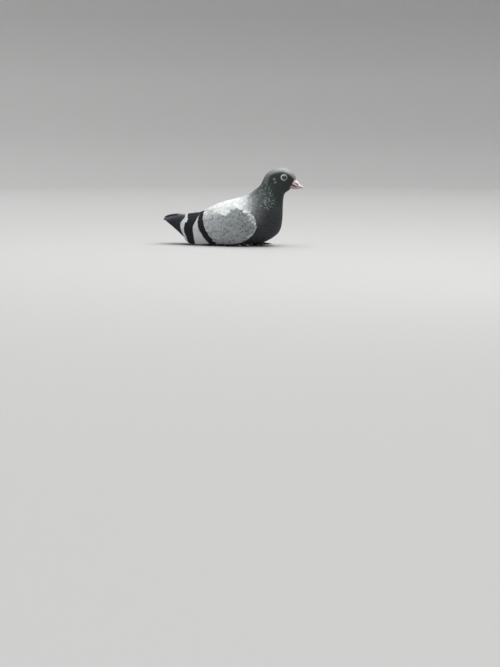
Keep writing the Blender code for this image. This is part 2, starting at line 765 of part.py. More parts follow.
def leg_solid(name, word, finish, collection, helpers, grow=0.0):
    """The scaled leg from the foot up to the ankle, where it goes into the plumage."""
    side = SIDES[word]
    joint_x, joint_y = FOOT_JOINT[word]
    back, outward, up = ANKLE_OFFSET
    start = Vector((joint_x, side * joint_y, TOE_HEIGHT + 0.6))
    ankle = start + Vector((back, side * outward, up))
    path = [start.lerp(ankle, t) for t in (0.0, 0.35, 0.7, 1.0)]
    radius = LEG_RADIUS + grow
    leg = tube(name, path, (radius, radius * 0.92, radius, radius * 1.15), finish, collection, 2)
    knob = ellipsoid("ankle", ankle, (ANKLE_RADIUS + grow,) * 3, 12, 8, None, helpers)
    return combine(leg, [knob], "UNION")


def make_leg(word, collection, helpers):
    """A leg and its foot: a round sole, four toes with claws, and the leg set against them."""
    side = SIDES[word]
    red = material("foot_red", 0.55)
    joint_x, joint_y = FOOT_JOINT[word]
    pad_centre = (joint_x, side * joint_y, TOE_HEIGHT + 0.3)
    foot = ellipsoid("foot_" + word, pad_centre, PAD_RADII, 16, 8, red, collection)
    toes = [toe(f"toe {name}", word, name, None, helpers) for name in TOES]
    combine(foot, toes, "UNION")
    ground = box("below ground", (-200, -200, -20), (200, 200, 0), helpers)
    combine(foot, [ground], "DIFFERENCE")
    leg = leg_solid("leg_" + word, word, red, collection, helpers)
    pad_radii = [r + GAP for r in PAD_RADII]
    pad = ellipsoid("pad grown", pad_centre, pad_radii, 16, 8, None, helpers)
    hind = toe("hind toe grown", word, "hind", None, helpers)
    grow = hind.modifiers.new("Grow", "DISPLACE")
    grow.strength = GROW * MM
    grow.mid_level = 0.0
    apply_modifiers(hind)
    combine(leg, [pad, hind], "DIFFERENCE")
    for piece in (foot, leg):
        round_shading(piece)


def make_torso(collection, helpers):
    """The torso, flat where the belly is on the ground and where it lies on the feet."""
    torso = body_part("torso", 0, NECK_CUT, material("slate", 0.7), collection)
    ground = box("below ground", (-200, -200, -20), (200, 200, 0), helpers)
    over_feet = box("over feet", (BELLY_REST_X, -200, -20), (200, 200, BELLY_OVER_FEET), helpers)
    sockets = [leg_solid("leg socket", w, None, helpers, helpers, GAP) for w in SIDES]
    combine(torso, [ground, over_feet, *sockets], "DIFFERENCE")
    round_shading(torso)


def make_neck(collection):
    neck = body_part("neck", NECK_CUT, HEAD_CUT, material("neck_sheen", 0.5), collection)
    round_shading(neck)


def main():
    clear_scene()
    pigeon = new_collection("pigeon")
    helpers = new_collection("helpers")
    make_torso(pigeon, helpers)
    make_neck(pigeon)
    make_head(pigeon, helpers)
    make_bill(pigeon, helpers)
    make_wings(pigeon, helpers)
    make_tail(pigeon, helpers)
    for word in SIDES:
        make_leg(word, pigeon, helpers)


main()
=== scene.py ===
# %% [markdown]
# # A pigeon at life size
#
# A crouching blue-bar pigeon, built the way a museum model is: a bare body first, then eyes, bill
# and feet, and then the plumage, feather over feather from the tail forwards.
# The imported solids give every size. Each piece below is shaped again from the same named sizes and
# lies in the same place, so nothing is fitted by eye.

import json
import math

import bmesh
import bpy
import numpy as np
from mathutils import Matrix, Vector
from mathutils.bvhtree import BVHTree

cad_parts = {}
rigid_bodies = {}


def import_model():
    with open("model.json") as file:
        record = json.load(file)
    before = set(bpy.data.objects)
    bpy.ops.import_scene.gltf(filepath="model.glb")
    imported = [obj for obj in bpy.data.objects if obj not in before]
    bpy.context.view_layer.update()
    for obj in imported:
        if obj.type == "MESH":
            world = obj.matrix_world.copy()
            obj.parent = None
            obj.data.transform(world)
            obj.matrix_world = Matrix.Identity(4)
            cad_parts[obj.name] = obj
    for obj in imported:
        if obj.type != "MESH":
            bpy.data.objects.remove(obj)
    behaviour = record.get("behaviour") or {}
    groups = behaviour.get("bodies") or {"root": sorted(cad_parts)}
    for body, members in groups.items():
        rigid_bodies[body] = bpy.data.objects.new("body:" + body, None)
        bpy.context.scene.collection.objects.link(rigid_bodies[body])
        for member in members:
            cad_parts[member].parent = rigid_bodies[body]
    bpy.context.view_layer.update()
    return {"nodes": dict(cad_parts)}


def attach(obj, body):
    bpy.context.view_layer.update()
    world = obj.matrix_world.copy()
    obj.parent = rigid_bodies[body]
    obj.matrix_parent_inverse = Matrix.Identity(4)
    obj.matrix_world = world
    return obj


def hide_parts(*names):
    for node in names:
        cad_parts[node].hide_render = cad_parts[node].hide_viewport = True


for leftover in list(bpy.data.objects):
    bpy.data.objects.remove(leftover)
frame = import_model()
MM = 0.001
print("nodes of the packed model:", sorted(frame["nodes"]))

# %% [markdown]
# ## Camera
#
# A long lens stands three metres away, a little above the bird and a little in front of it.
# The bird is small and high in the frame, so the lens is shifted instead of turned.
# That keeps upright lines upright, as a view camera does.

# %% Camera
FRAME_LONG_SIDE = 667.0
FRAME_CENTRE = (250.0, 333.5)
BIRD_ORIGIN_PIXEL = (232.8, 245.0)
CAMERA_AZIMUTH = math.radians(20.0)
CAMERA_ELEVATION = math.radians(4.0)
CAMERA_DISTANCE = 2.9717

camera_data = bpy.data.cameras.new("camera")
camera_data.lens = 85.0
camera_data.sensor_width = 36.0
camera_data.shift_x = (FRAME_CENTRE[0] - BIRD_ORIGIN_PIXEL[0]) / FRAME_LONG_SIDE
camera_data.shift_y = (BIRD_ORIGIN_PIXEL[1] - FRAME_CENTRE[1]) / FRAME_LONG_SIDE
camera = bpy.data.objects.new("camera", camera_data)
camera_back = Vector((
    math.sin(CAMERA_AZIMUTH) * math.cos(CAMERA_ELEVATION),
    -math.cos(CAMERA_AZIMUTH) * math.cos(CAMERA_ELEVATION),
    math.sin(CAMERA_ELEVATION),
))
camera.location = camera_back * CAMERA_DISTANCE
camera.rotation_euler = camera_back.to_track_quat("Z", "Y").to_euler()
bpy.context.scene.collection.objects.link(camera)
bpy.context.scene.camera = camera
print("camera stands at", [round(x, 2) for x in camera.location])

# %% [markdown]
# ## Light
#
# In daylight the back is nearly white and the breast nearly black, as light falls from above. One
# small lamp would do that with hard shadows, but a broad sun with a wide lamp under it does it
# softly. A small lamp in front puts the point of light into the eye.

# %% Lamps and surroundings
SUN_STRENGTH = 3.1
SUN_SPREAD = math.radians(70.0)
SUN_TURN = (math.radians(-14.0), math.radians(10.0), 0.0)
# Place and width in metres, and power in watts.
SQUARE_LAMPS = {
    "key lamp": ((0.10, -0.25, 1.15), 0.9, 3.5),
    "front lamp": ((0.95, -0.75, 0.75), 0.22, 1.4),
}
BIRD_MIDDLE = Vector((0.0, 0.0, 0.06))
SURROUNDINGS_STRENGTH = 0.24
SURROUNDINGS_COLOUR = (0.93, 0.96, 1.0, 1.0)


def new_lamp(name, kind):
    """A lamp in the scene: (its data, its object)."""
    lamp = bpy.data.lights.new(name, kind)
    obj = bpy.data.objects.new(name, lamp)
    bpy.context.scene.collection.objects.link(obj)
    return lamp, obj


for lamp_name, (place, width, power) in SQUARE_LAMPS.items():
    lamp, lamp_object = new_lamp(lamp_name, "AREA")
    lamp.size = width
    lamp.energy = power
    lamp_object.location = place
    lamp_object.rotation_euler = (BIRD_MIDDLE - Vector(place)).to_track_quat("-Z", "Y").to_euler()
sun, sun_object = new_lamp("sky lamp", "SUN")
sun.energy = SUN_STRENGTH
sun.angle = SUN_SPREAD
sun_object.rotation_euler = SUN_TURN

world = bpy.data.worlds.new("surroundings")
bpy.context.scene.world = world
world.use_nodes = True
glow = world.node_tree.nodes["Background"].inputs
glow["Color"].default_value = SURROUNDINGS_COLOUR
glow["Strength"].default_value = SURROUNDINGS_STRENGTH
bpy.context.scene.view_settings.view_transform = "Standard"
print("lamps:", [lamp.name for lamp in bpy.data.lights])

# %% [markdown]
# ## Floor
#
# A flat plane would end in a hard horizon. The floor is a pale dish, flat round the bird and rising
# far behind it, like the curved paper in a photographer's studio.

# %% Floor
# Height of the dish by distance from the bird, in metres.
DISH_PROFILE = {0: 0, 3.4: 0, 4.1: 0.16, 4.7: 0.62, 5.1: 1.4, 5.3: 2.6, 5.4: 4}
DISH_RINGS, DISH_SEGMENTS = 36, 72
DISH_CENTRE = 0.001
FLOOR_COLOUR = (0.50, 0.495, 0.49, 1.0)
FLOOR_ROUGHNESS = 0.75

ring_radii = np.linspace(DISH_CENTRE, max(DISH_PROFILE), DISH_RINGS)
ring_heights = np.interp(ring_radii, list(DISH_PROFILE), list(DISH_PROFILE.values()))
round_dish = np.linspace(0, 2 * math.pi, DISH_SEGMENTS, endpoint=False)
dish = np.stack([
    ring_radii[:, None] * np.cos(round_dish), ring_radii[:, None] * np.sin(round_dish),
    ring_heights[:, None] + 0 * round_dish,
], -1).reshape(-1, 3)
dish_faces = [tuple(range(DISH_SEGMENTS))]
for ring in range(DISH_RINGS - 1):
    for k in range(DISH_SEGMENTS):
        a, b = ring * DISH_SEGMENTS + k, ring * DISH_SEGMENTS + (k + 1) % DISH_SEGMENTS
        dish_faces.append((a, a + DISH_SEGMENTS, b + DISH_SEGMENTS, b))
floor_mesh = bpy.data.meshes.new("floor")
floor_mesh.from_pydata(dish.tolist(), [], dish_faces)
floor_mesh.shade_smooth()
floor = bpy.data.objects.new("floor", floor_mesh)
bpy.context.scene.collection.objects.link(floor)
floor_finish = bpy.data.materials.new("pale floor")
floor_finish.use_nodes = True
floor_shader = floor_finish.node_tree.nodes["Principled BSDF"]
floor_shader.inputs["Base Color"].default_value = FLOOR_COLOUR
floor_shader.inputs["Roughness"].default_value = FLOOR_ROUGHNESS
floor_mesh.materials.append(floor_finish)
print("the floor is a dish", 2 * max(DISH_PROFILE), "m wide")

# %% [markdown]
# ## Reading the bird's tables
#
# Every curve of the bird is a short table of places with a smooth line through them. One reader
# serves all the tables, for one place or for a whole grid of places at once.

# %% Smooth tables


def smooth(table, at):
    """A smooth curve through a table of {place: value or values}, read at an array of places."""
    stops = np.array(sorted(table), float)
    values = np.array([table[s] for s in sorted(table)], float)
    at = np.clip(np.asarray(at, float), stops[0], stops[-1])
    i = np.clip(np.searchsorted(stops, at) - 1, 0, len(stops) - 2)
    slopes = np.gradient(values, stops, axis=0)
    span = stops[i + 1] - stops[i]
    t = (at - stops[i]) / span
    if values.ndim > 1:
        t, span = t[..., None], span[..., None]
    start = (2 * t**3 - 3 * t**2 + 1) * values[i] + (t**3 - 2 * t**2 + t) * span * slopes[i]
    end = (3 * t**2 - 2 * t**3) * values[i + 1] + (t**3 - t**2) * span * slopes[i + 1]
    return start + end


def ease(low, high, value):
    """0 below low, 1 above high, and a smooth rise between."""
    t = np.clip((np.asarray(value, float) - low) / (high - low), 0.0, 1.0)
    return t * t * (3 - 2 * t)


def unit(vectors):
    """Vectors of the same directions, one long."""
    return vectors / np.maximum(np.linalg.norm(vectors, axis=-1, keepdims=True), 1e-12)


# %% [markdown]
# ## The body under the feathers
#
# A plucked bird is one smooth form: a loft through named sections, each a rounded outline between
# a point on the back and one on the breast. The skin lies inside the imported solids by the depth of
# the coat, and sinks into a socket round each eye.

# %% Body sections
# Back point X, Z, then breast point X, Z, half-width, how square it is below, and coat depth, in mm.
BODY_SECTIONS = {
    "inside the tail": (-136, 50.9, -135, 48.6, 8, 2, 0.4),
    "tail flesh tip": (-114, 55.4, -112, 46.5, 12, 2, 1.4),
    "tail flesh": (-103, 56.6, -101, 40, 14.5, 2, 1.6),
    "tail root": (-90, 57, -88, 34, 18, 2.1, 2),
    "rump": (-72, 59.5, -71, 20, 25, 2.2, 2.2),
    "loin": (-50, 68, -50, 5.5, 33.5, 2.5, 2.4),
    "hip": (-25, 80, -25, -1.8, 40, 2.9, 2.4),
    "belly": (0, 86.8, 6, 0.8, 43, 2.9, 2.4),
    "mantle": (20, 91.8, 34, 4.6, 44.5, 2.7, 2.3),
    "shoulder": (32, 95.8, 60, 8, 43.5, 2.5, 2.2),
    "crop": (41, 101.5, 80, 16, 40.5, 2.3, 2.1),
    "breast": (48, 107, 91, 27.5, 36.5, 2.2, 2),
    "collar": (53.5, 112, 95.2, 43.5, 31.5, 2.1, 1.8),
    "neck foot": (57.5, 117, 96.6, 58, 27, 2.1, 1.6),
    "neck": (60.5, 122.8, 97.4, 72, 23.8, 2.1, 1.4),
    "nape": (64, 130, 98.4, 84.3, 21.3, 2.1, 1.15),
    "jaw": (70.5, 137.8, 100, 93, 19.8, 2.1, 0.95),
    "ear": (81, 143.8, 102.6, 98.4, 18.6, 2.1, 0.8),
    "crown": (94, 146.8, 105.8, 101.2, 17.6, 2.1, 0.7),
    "brow": (105.5, 145.6, 108.8, 103, 16, 2, 0.65),
    "forehead": (114.8, 140.9, 110.8, 104.8, 12.9, 2, 0.6),
    "lore": (121.2, 134.2, 112.4, 106.6, 9.4, 2, 0.5),
    "bill root": (124.4, 127.4, 113.8, 108.8, 6.4, 2, 0.35),
}
BODY_TABLE = dict(enumerate(BODY_SECTIONS.values()))
SECTIONS = len(BODY_SECTIONS) - 1
PLACE = {name: i / SECTIONS for i, name in enumerate(BODY_SECTIONS)}
BACK_ROUNDNESS = 2.1
SKIN_RINGS_PER_SECTION = 7
SKIN_SEGMENTS = 96
# The lowest that the belly's skin lies, by X, in mm.
BELLY_FLOOR = {-30: 2.4, -12: 3, 0: 6.5, 60: 7}


def at_sections(values):
    """A table by section name as one by place, 0 at the tail and 1 at the bill."""
    return {PLACE[name]: value for name, value in values.items()}


EYE_CENTRE = np.array([105.2, 10.9, 128.2])
EYE_RADIUS = 5.4
EYE_FORWARD_TURN = math.radians(24.0)
EYE_UPWARD_TURN = math.radians(6.0)
SOCKET_RADIUS = 6.0
SIDES = {"right": -1.0, "left": 1.0}


def eye_direction(side):
    """The way an eye looks, out of the head."""
    flat = np.array([math.sin(EYE_FORWARD_TURN), side * math.cos(EYE_FORWARD_TURN), 0.0])
    return flat * math.cos(EYE_UPWARD_TURN) + np.array([0, 0, math.sin(EYE_UPWARD_TURN)])


def eye_centre(side):
    """The middle of an eyeball, in mm."""
    return EYE_CENTRE * (1.0, side, 1.0)


print("the right eye looks along", eye_direction(SIDES["right"]).round(2).tolist())

# %% [markdown]
# ## Turning points into pieces
#
# A piece could be modelled by hand, but its sizes would be hard to find again. Here the points are
# worked out by rule, and values that a finish needs are stored on them as named attributes.

# %% Making a mesh


def new_piece(name, points_mm, faces, finish, attributes=None):
    """A smooth-shaded mesh object at the origin, from points in millimetres."""
    mesh = bpy.data.meshes.new(name)
    mesh.from_pydata((np.asarray(points_mm) * MM).tolist(), [], faces)
    for label, values in (attributes or {}).items():
        values = np.asarray(values, np.float32)
        kind = "FLOAT" if values.ndim == 1 else "FLOAT_VECTOR"
        layer = mesh.attributes.new(label, kind, "POINT")
        layer.data.foreach_set("value" if kind == "FLOAT" else "vector", values.ravel())
    if finish:
        mesh.materials.append(finish)
    mesh.shade_smooth()
    obj = bpy.data.objects.new(name, mesh)
    bpy.context.scene.collection.objects.link(obj)
    return obj


def grid_faces(rows, columns, closed=False):
    """Faces of a grid of points. If closed, its last column is joined to the first."""
    faces = []
    for i in range(rows - 1):
        for k in range(columns if closed else columns - 1):
            after = (k + 1) % columns
            low, high = i * columns, (i + 1) * columns
            faces.append((low + k, low + after, high + after, high + k))
    return faces


def tube_faces(rows, columns):
    """Faces of a tube of rings, with a face over each end."""
    first, last = range(columns), range((rows - 1) * columns, rows * columns)
    return [*grid_faces(rows, columns, closed=True), tuple(first)[::-1], tuple(last)]


# %% [markdown]
# The bake map says where each corner lies on a flat square, for whoever bakes these finishes.

# %% Bake maps
CHART_NAME = "OFBake"


def corner_points(mesh):
    """The number of the point at each corner of each face."""
    index = np.zeros(len(mesh.loops), int)
    mesh.loops.foreach_get("vertex_index", index)
    return index


def add_chart(mesh, corners):
    """Adds the bake map, from a place in the unit square for each corner."""
    chart = mesh.uv_layers.new(name=CHART_NAME)
    chart.data.foreach_set("uv", corners.astype(np.float32).ravel())


# %% [markdown]
# Doubled points are merged, faces turned outwards, and modifiers replaced by what they made. A left
# piece is a right one turned over, which leaves it inside out until its faces are flipped.

# %% Finishing a mesh
MERGE_DISTANCE = 1e-7
ACROSS_THE_BIRD = Matrix.Diagonal((1.0, -1.0, 1.0, 1.0))


def face_outwards(obj):
    """Merges doubled points and turns every face outwards."""
    body = bmesh.new()
    body.from_mesh(obj.data)
    bmesh.ops.remove_doubles(body, verts=body.verts, dist=MERGE_DISTANCE)
    bmesh.ops.recalc_face_normals(body, faces=body.faces)
    body.to_mesh(obj.data)
    body.free()
    obj.data.shade_smooth()
    return obj


def baked(obj):
    """Replaces an object's mesh by its evaluated one, and drops the modifiers."""
    graph = bpy.context.evaluated_depsgraph_get()
    evaluated = obj.evaluated_get(graph)
    made = bpy.data.meshes.new_from_object(evaluated, preserve_all_data_layers=True, depsgraph=graph)
    obj.modifiers.clear()
    obj.data = made


def joined(name, pieces):
    """Several mesh objects as one."""
    with bpy.context.temp_override(active_object=pieces[0], selected_editable_objects=pieces):
        bpy.ops.object.join()
    pieces[0].name = name
    return pieces[0]


def turned_to_left(obj):
    """Makes a right piece the same piece on the left, with its faces still outwards."""
    obj.data.transform(ACROSS_THE_BIRD)
    obj.data.flip_normals()


def kept_above(mesh, height):
    """Raises every point that lies lower than a height, in metres, up to it."""
    points = np.zeros(len(mesh.vertices) * 3)
    mesh.vertices.foreach_get("co", points)
    points[2::3] = np.maximum(points[2::3], height)
    mesh.vertices.foreach_set("co", points)


def settle(obj, slot, *nodes):
    """Makes a finished piece part of the bird."""
    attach(obj, "root")
    if nodes:
        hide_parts(*nodes)
    print(obj.name, "has", sum(len(p.vertices) - 2 for p in obj.data.polygons), "triangles")


# %% [markdown]
# ## Shader parts
#
# The helpers take each input as a value or as a link from another node, so that a finish reads like
# a recipe instead of a dozen lines for each node.

# %% Node helpers


def feed(tree, socket, value):
    """Gives a socket its value, or a link from another node."""
    if isinstance(value, bpy.types.NodeSocket):
        tree.links.new(value, socket)
    else:
        socket.default_value = value


def add(tree, kind, inputs=None, **settings):
    """Adds a node with its settings, and its inputs as values or as links."""
    node = tree.nodes.new(kind)
    for label, value in settings.items():
        setattr(node, label, value)
    for key, value in (inputs or {}).items():
        feed(tree, node.inputs[key], value)
    return node


def maths(tree, operation, *values):
    """The result of a sum on one, two or three numbers."""
    return add(tree, "ShaderNodeMath", dict(enumerate(values)), operation=operation).outputs[0]


def times(tree, first, second):
    """The product of two numbers."""
    return maths(tree, "MULTIPLY", first, second)


def vector_maths(tree, operation, first, second=None):
    """The result of a sum on vectors. SCALE takes a number as its second value."""
    inputs = {0: first}
    if second is not None:
        inputs["Scale" if operation == "SCALE" else 1] = second
    node = add(tree, "ShaderNodeVectorMath", inputs, operation=operation)
    return node.outputs["Value" if operation in ("LENGTH", "DOT_PRODUCT") else "Vector"]


def between(tree, value, low, high, to_low=0.0, to_high=1.0):
    """A smooth rise from one value to another."""
    inputs = {"Value": value, "From Min": low, "From Max": high, "To Min": to_low, "To Max": to_high}
    return add(tree, "ShaderNodeMapRange", inputs, interpolation_type="SMOOTHSTEP").outputs["Result"]


def blend(tree, factor, first, second):
    """One colour over another."""
    return add(tree, "ShaderNodeMix", {0: factor, 6: first, 7: second}, data_type="RGBA").outputs[2]


def colour_line(tree, value, stops):
    """A line of colours: {place: (red, green, blue)}."""
    node = add(tree, "ShaderNodeValToRGB", {"Fac": value})
    ramp = node.color_ramp
    while len(ramp.elements) < len(stops):
        ramp.elements.new(0.5)
    for element, (place, colour) in zip(ramp.elements, sorted(stops.items())):
        element.position = place
        element.color = (*colour, 1.0)
    return node.outputs["Color"]


def group(name, inputs, outputs):
    """An empty shader group with named sockets: (tree, its inputs, its output node)."""
    tree = bpy.data.node_groups.new(name, "ShaderNodeTree")
    kinds = {"value": "NodeSocketFloat", "colour": "NodeSocketColor", "vector": "NodeSocketVector"}
    for label, kind in inputs.items():
        tree.interface.new_socket(label, in_out="INPUT", socket_type=kinds[kind])
    for label, kind in outputs.items():
        tree.interface.new_socket(label, in_out="OUTPUT", socket_type=kinds[kind])
    return tree, tree.nodes.new("NodeGroupInput").outputs, tree.nodes.new("NodeGroupOutput").inputs


# %% [markdown]
# ## One feather's own markings
#
# A feather has a shaft, vanes of fine slanting barbs, and a paler worn rim. This group reads how
# far along and across its feather a point lies, so that one rule serves them all.

# %% Vane group
SHAFT_FROM, SHAFT_FULL = 0.10, 0.02
SIDE_MARGIN = 0.70
TIP_MARGIN = 0.84
BARB_SLANT = 0.22
BARB_SHIFT = 9.0

tree, given, gives = group(
    "vane",
    {"Along": "value", "Across": "value", "Barbs": "value", "Seed": "value"},
    {"Shaft": "value", "Margin": "value", "Barb Height": "value"},
)
side = maths(tree, "ABSOLUTE", given["Across"])
shaft = between(tree, side, SHAFT_FROM, SHAFT_FULL)
side_margin = between(tree, side, SIDE_MARGIN, 1.0)
tip_margin = between(tree, given["Along"], TIP_MARGIN, 1.0)
slope = maths(tree, "SUBTRACT", given["Along"], times(tree, side, BARB_SLANT))
wave = times(tree, slope, given["Barbs"])
wave = maths(tree, "ADD", wave, times(tree, given["Seed"], BARB_SHIFT))
barbs = maths(tree, "SINE", times(tree, wave, 2 * math.pi))
tree.links.new(shaft, gives["Shaft"])
tree.links.new(maths(tree, "MAXIMUM", side_margin, tip_margin), gives["Margin"])
tree.links.new(maths(tree, "ADD", barbs, shaft), gives["Barb Height"])
vane_group = tree
print("the vane group has", len(tree.nodes), "nodes")

# %% [markdown]
# ## The body's colours
#
# A blue-bar pigeon is slate below, pale grey over its back and dark on the neck. One line of colours
# along the back and one along the breast are mixed by how far round the body a feather is rooted.
# Both lines also hold painted light: the back is painted nearly white and the crown paler where light
# falls from above, and the breast, face and lores are painted darker where they lie in shade.

# %% Colours of back and breast
# Partly painted top light: mantle, shoulder, crown and forehead are painted paler where light falls from
# above.
BACK_COLOURS_WITH_TOP_LIGHT = {
    "tail flesh tip": (0.075, 0.082, 0.095), "tail root": (0.20, 0.215, 0.235), "loin": (0.60, 0.63, 0.64),
    "mantle": (0.78, 0.81, 0.80), "shoulder": (0.70, 0.73, 0.73), "crop": (0.56, 0.60, 0.60),
    "breast": (0.35, 0.385, 0.38), "collar": (0.18, 0.21, 0.205), "neck": (0.075, 0.097, 0.094),
    "nape": (0.110, 0.134, 0.131), "ear": (0.28, 0.305, 0.302), "crown": (0.45, 0.48, 0.475),
    "forehead": (0.48, 0.50, 0.49), "bill root": (0.26, 0.265, 0.26),
}
# Partly painted shade: breast, belly, face and lores are painted darker where they lie in shade.
BREAST_COLOURS_WITH_SHADE = {
    "tail flesh tip": (0.05, 0.055, 0.062), "rump": (0.075, 0.085, 0.095), "hip": (0.070, 0.080, 0.090),
    "mantle": (0.026, 0.032, 0.038), "crop": (0.016, 0.020, 0.023), "collar": (0.015, 0.020, 0.021),
    "neck": (0.022, 0.030, 0.029), "jaw": (0.020, 0.027, 0.026), "crown": (0.021, 0.028, 0.027),
    "bill root": (0.018, 0.021, 0.021),
}


# %% [markdown]
# On the glossy neck some feathers get a painted glint: a pale fleck that stands in for light caught
# by the feather. They are picked by each feather's random tone, which also makes it a little lighter
# or darker. The crown's painted light ends sharply over the eye, so the mix is steeper on the head.

# %% Body colour group
NECK_GLOSS = {
    "crop": (0.030, 0.029, 0.037), "collar": (0.036, 0.030, 0.041), "neck": (0.036, 0.062, 0.057),
    "jaw": (0.036, 0.056, 0.052),
}
GLOSS_SHARE = 0.35
PAINTED_GLINT_COLOUR = (0.42, 0.47, 0.46, 1.0)
PAINTED_GLINT_SHARE = 0.65
# Only the feathers of the highest tones get painted glints, and on the crop only those of the back half.
GLINT_TONES = (0.78, 0.93)
GLINT_ROUND = (0.92, 0.66)
GLINT_CROP_SHIFT = 0.40
MARK_COLOUR = (0.42, 0.45, 0.45, 1.0)
BACK_UNTIL = 0.12
BREAST_FROM = 0.74
HEAD_BREAST_SHIFT = -0.29
HEAD_STEEPER = 0.75

tree, given, gives = group(
    "body colours", {"Place": "value", "Round": "value", "Tone": "value", "Pale": "value"},
    {"Color": "colour", "Sheen": "value"},
)
back = colour_line(tree, given["Place"], at_sections(BACK_COLOURS_WITH_TOP_LIGHT))
breast = colour_line(tree, given["Place"], at_sections(BREAST_COLOURS_WITH_SHADE))
head = between(tree, given["Place"], PLACE["nape"], PLACE["ear"])
lower = times(tree, given["Round"], maths(tree, "MULTIPLY_ADD", head, HEAD_STEEPER, 1.0))
# Where the crown's painted light ends over the eye.
lit_cap_edge = maths(tree, "MULTIPLY_ADD", head, HEAD_BREAST_SHIFT, BREAST_FROM)
body_colour = blend(tree, between(tree, lower, BACK_UNTIL, lit_cap_edge), back, breast)

neck_rise = between(tree, given["Place"], PLACE["shoulder"], PLACE["collar"])
neck_fall = between(tree, given["Place"], PLACE["ear"], PLACE["nape"])
neck = times(tree, neck_rise, neck_fall)
on_crop = between(tree, given["Place"], PLACE["neck"], PLACE["breast"])
glint_side = maths(tree, "MULTIPLY_ADD", on_crop, GLINT_CROP_SHIFT, given["Round"])
# Painted glints: pale flecks that stand in for light caught by single neck feathers.
painted_glint = times(tree, between(tree, given["Tone"], *GLINT_TONES), neck)
painted_glint = times(tree, painted_glint, between(tree, glint_side, *GLINT_ROUND))
body_colour = blend(tree, times(tree, painted_glint, PAINTED_GLINT_SHARE), body_colour, PAINTED_GLINT_COLOUR)
gloss = colour_line(tree, given["Place"], at_sections(NECK_GLOSS))
body_colour = blend(tree, times(tree, neck, GLOSS_SHARE), body_colour, gloss)
body_colour = blend(tree, given["Pale"], body_colour, MARK_COLOUR)
tone = between(tree, given["Tone"], 0.0, 1.0, 0.84, 1.14)
tree.links.new(vector_maths(tree, "SCALE", body_colour, tone), gives["Color"])
tree.links.new(neck, gives["Sheen"])
body_group = tree
print("the body colour group has", len(tree.nodes), "nodes")

# %% [markdown]
# ## Grain of bare skin
#
# Bare skin, powder and horn are never even. Small cells give them relief, and soft blotches let two
# shades of one colour show through each other.

# %% Grain group
BLOTCH_SCALE = 260.0


def noise(tree, place, scale, detail=2.0):
    """Soft random blotches."""
    inputs = {"Vector": place, "Scale": scale, "Detail": detail}
    return add(tree, "ShaderNodeTexNoise", inputs).outputs["Fac"]


tree, given, gives = group(
    "fine grain", {"Vector": "vector", "Scale": "value"}, {"Height": "value", "Patches": "value"}
)
cells = add(tree, "ShaderNodeTexVoronoi", {"Vector": given["Vector"], "Scale": given["Scale"]})
tree.links.new(cells.outputs["Distance"], gives["Height"])
tree.links.new(noise(tree, given["Vector"], BLOTCH_SCALE, 3.0), gives["Patches"])
grain_group = tree
print("shader groups:", [g.name for g in bpy.data.node_groups])

# %% [markdown]
# ## Finishes
#
# Feathers are matt and coloured by where they are rooted. Horn, skin and the eye are read from the
# object's own coordinates.

# %% Material helpers


def new_finish(name, **values):
    """A new material: (material, node tree, shader), with the shader's constants set."""
    made = bpy.data.materials.new(name)
    made.use_nodes = True
    shader = made.node_tree.nodes["Principled BSDF"]
    for label, value in values.items():
        shader.inputs[label.replace("_", " ")].default_value = value
    return made, made.node_tree, shader


def attribute(tree, name):
    return add(tree, "ShaderNodeAttribute", attribute_name=name).outputs["Fac"]


def object_place(tree):
    """Where a point lies on the bird, in metres."""
    return add(tree, "ShaderNodeTexCoord").outputs["Object"]


def use_group(tree, shared, inputs):
    """Places a shader group in a finish, and gives its outputs."""
    node = add(tree, "ShaderNodeGroup", node_tree=shared)
    for label, value in inputs.items():
        feed(tree, node.inputs[label], value)
    return node.outputs


def bump(tree, shader, height, distance, strength=1.0):
    """Lets a height raise the surface, by a distance in metres."""
    node = add(tree, "ShaderNodeBump", {"Height": height, "Distance": distance, "Strength": strength})
    tree.links.new(node.outputs["Normal"], shader.inputs["Normal"])


# %% [markdown]
# A feather has one colour, paler at its rim and darker in its middle. Only the neck's feathers are
# a little metallic, which gives their sheen. The skin wears their colours, so no gap is ever seen.

# %% Feather finishes
NECK_METAL = 0.35
RIM_COLOUR = (0.75, 0.78, 0.80, 1.0)
MIDDLE_COLOUR = (0.01, 0.012, 0.014, 1.0)
BARB_RELIEF, BARB_STRENGTH = 0.00008, 0.35


def marking_of(tree, colours, tone_value):
    """The outputs of a colour group, read where the feather is rooted."""
    inputs = {"Place": attribute(tree, "place"), "Round": attribute(tree, "round"), "Tone": tone_value}
    if colours is body_group:
        inputs["Pale"] = attribute(tree, "pale")
    return use_group(tree, colours, inputs)


def vane_of(tree, barbs, tone_value):
    """The outputs of the vane group, read on the feather itself."""
    return use_group(tree, vane_group, {
        "Along": attribute(tree, "along"), "Across": attribute(tree, "across"),
        "Barbs": barbs, "Seed": tone_value,
    })


def feather_finish(name, colours, barbs, margin_lift, centre_drop, **values):
    """A feather's finish: its barbs, and how pale its rim and dark its middle are."""
    made, tree, shader = new_finish(name, **values)
    tone_value = attribute(tree, "tone")
    vane = vane_of(tree, barbs, tone_value)
    marking = marking_of(tree, colours, tone_value)
    if "Sheen" in marking:
        tree.links.new(times(tree, marking["Sheen"], NECK_METAL), shader.inputs["Metallic"])
    pale = blend(tree, times(tree, vane["Margin"], margin_lift), marking["Color"], RIM_COLOUR)
    middle = times(tree, maths(tree, "SUBTRACT", 1.0, vane["Margin"]), centre_drop)
    tree.links.new(blend(tree, middle, pale, MIDDLE_COLOUR), shader.inputs["Base Color"])
    bump(tree, shader, vane["Barb Height"], BARB_RELIEF, BARB_STRENGTH)
    return made


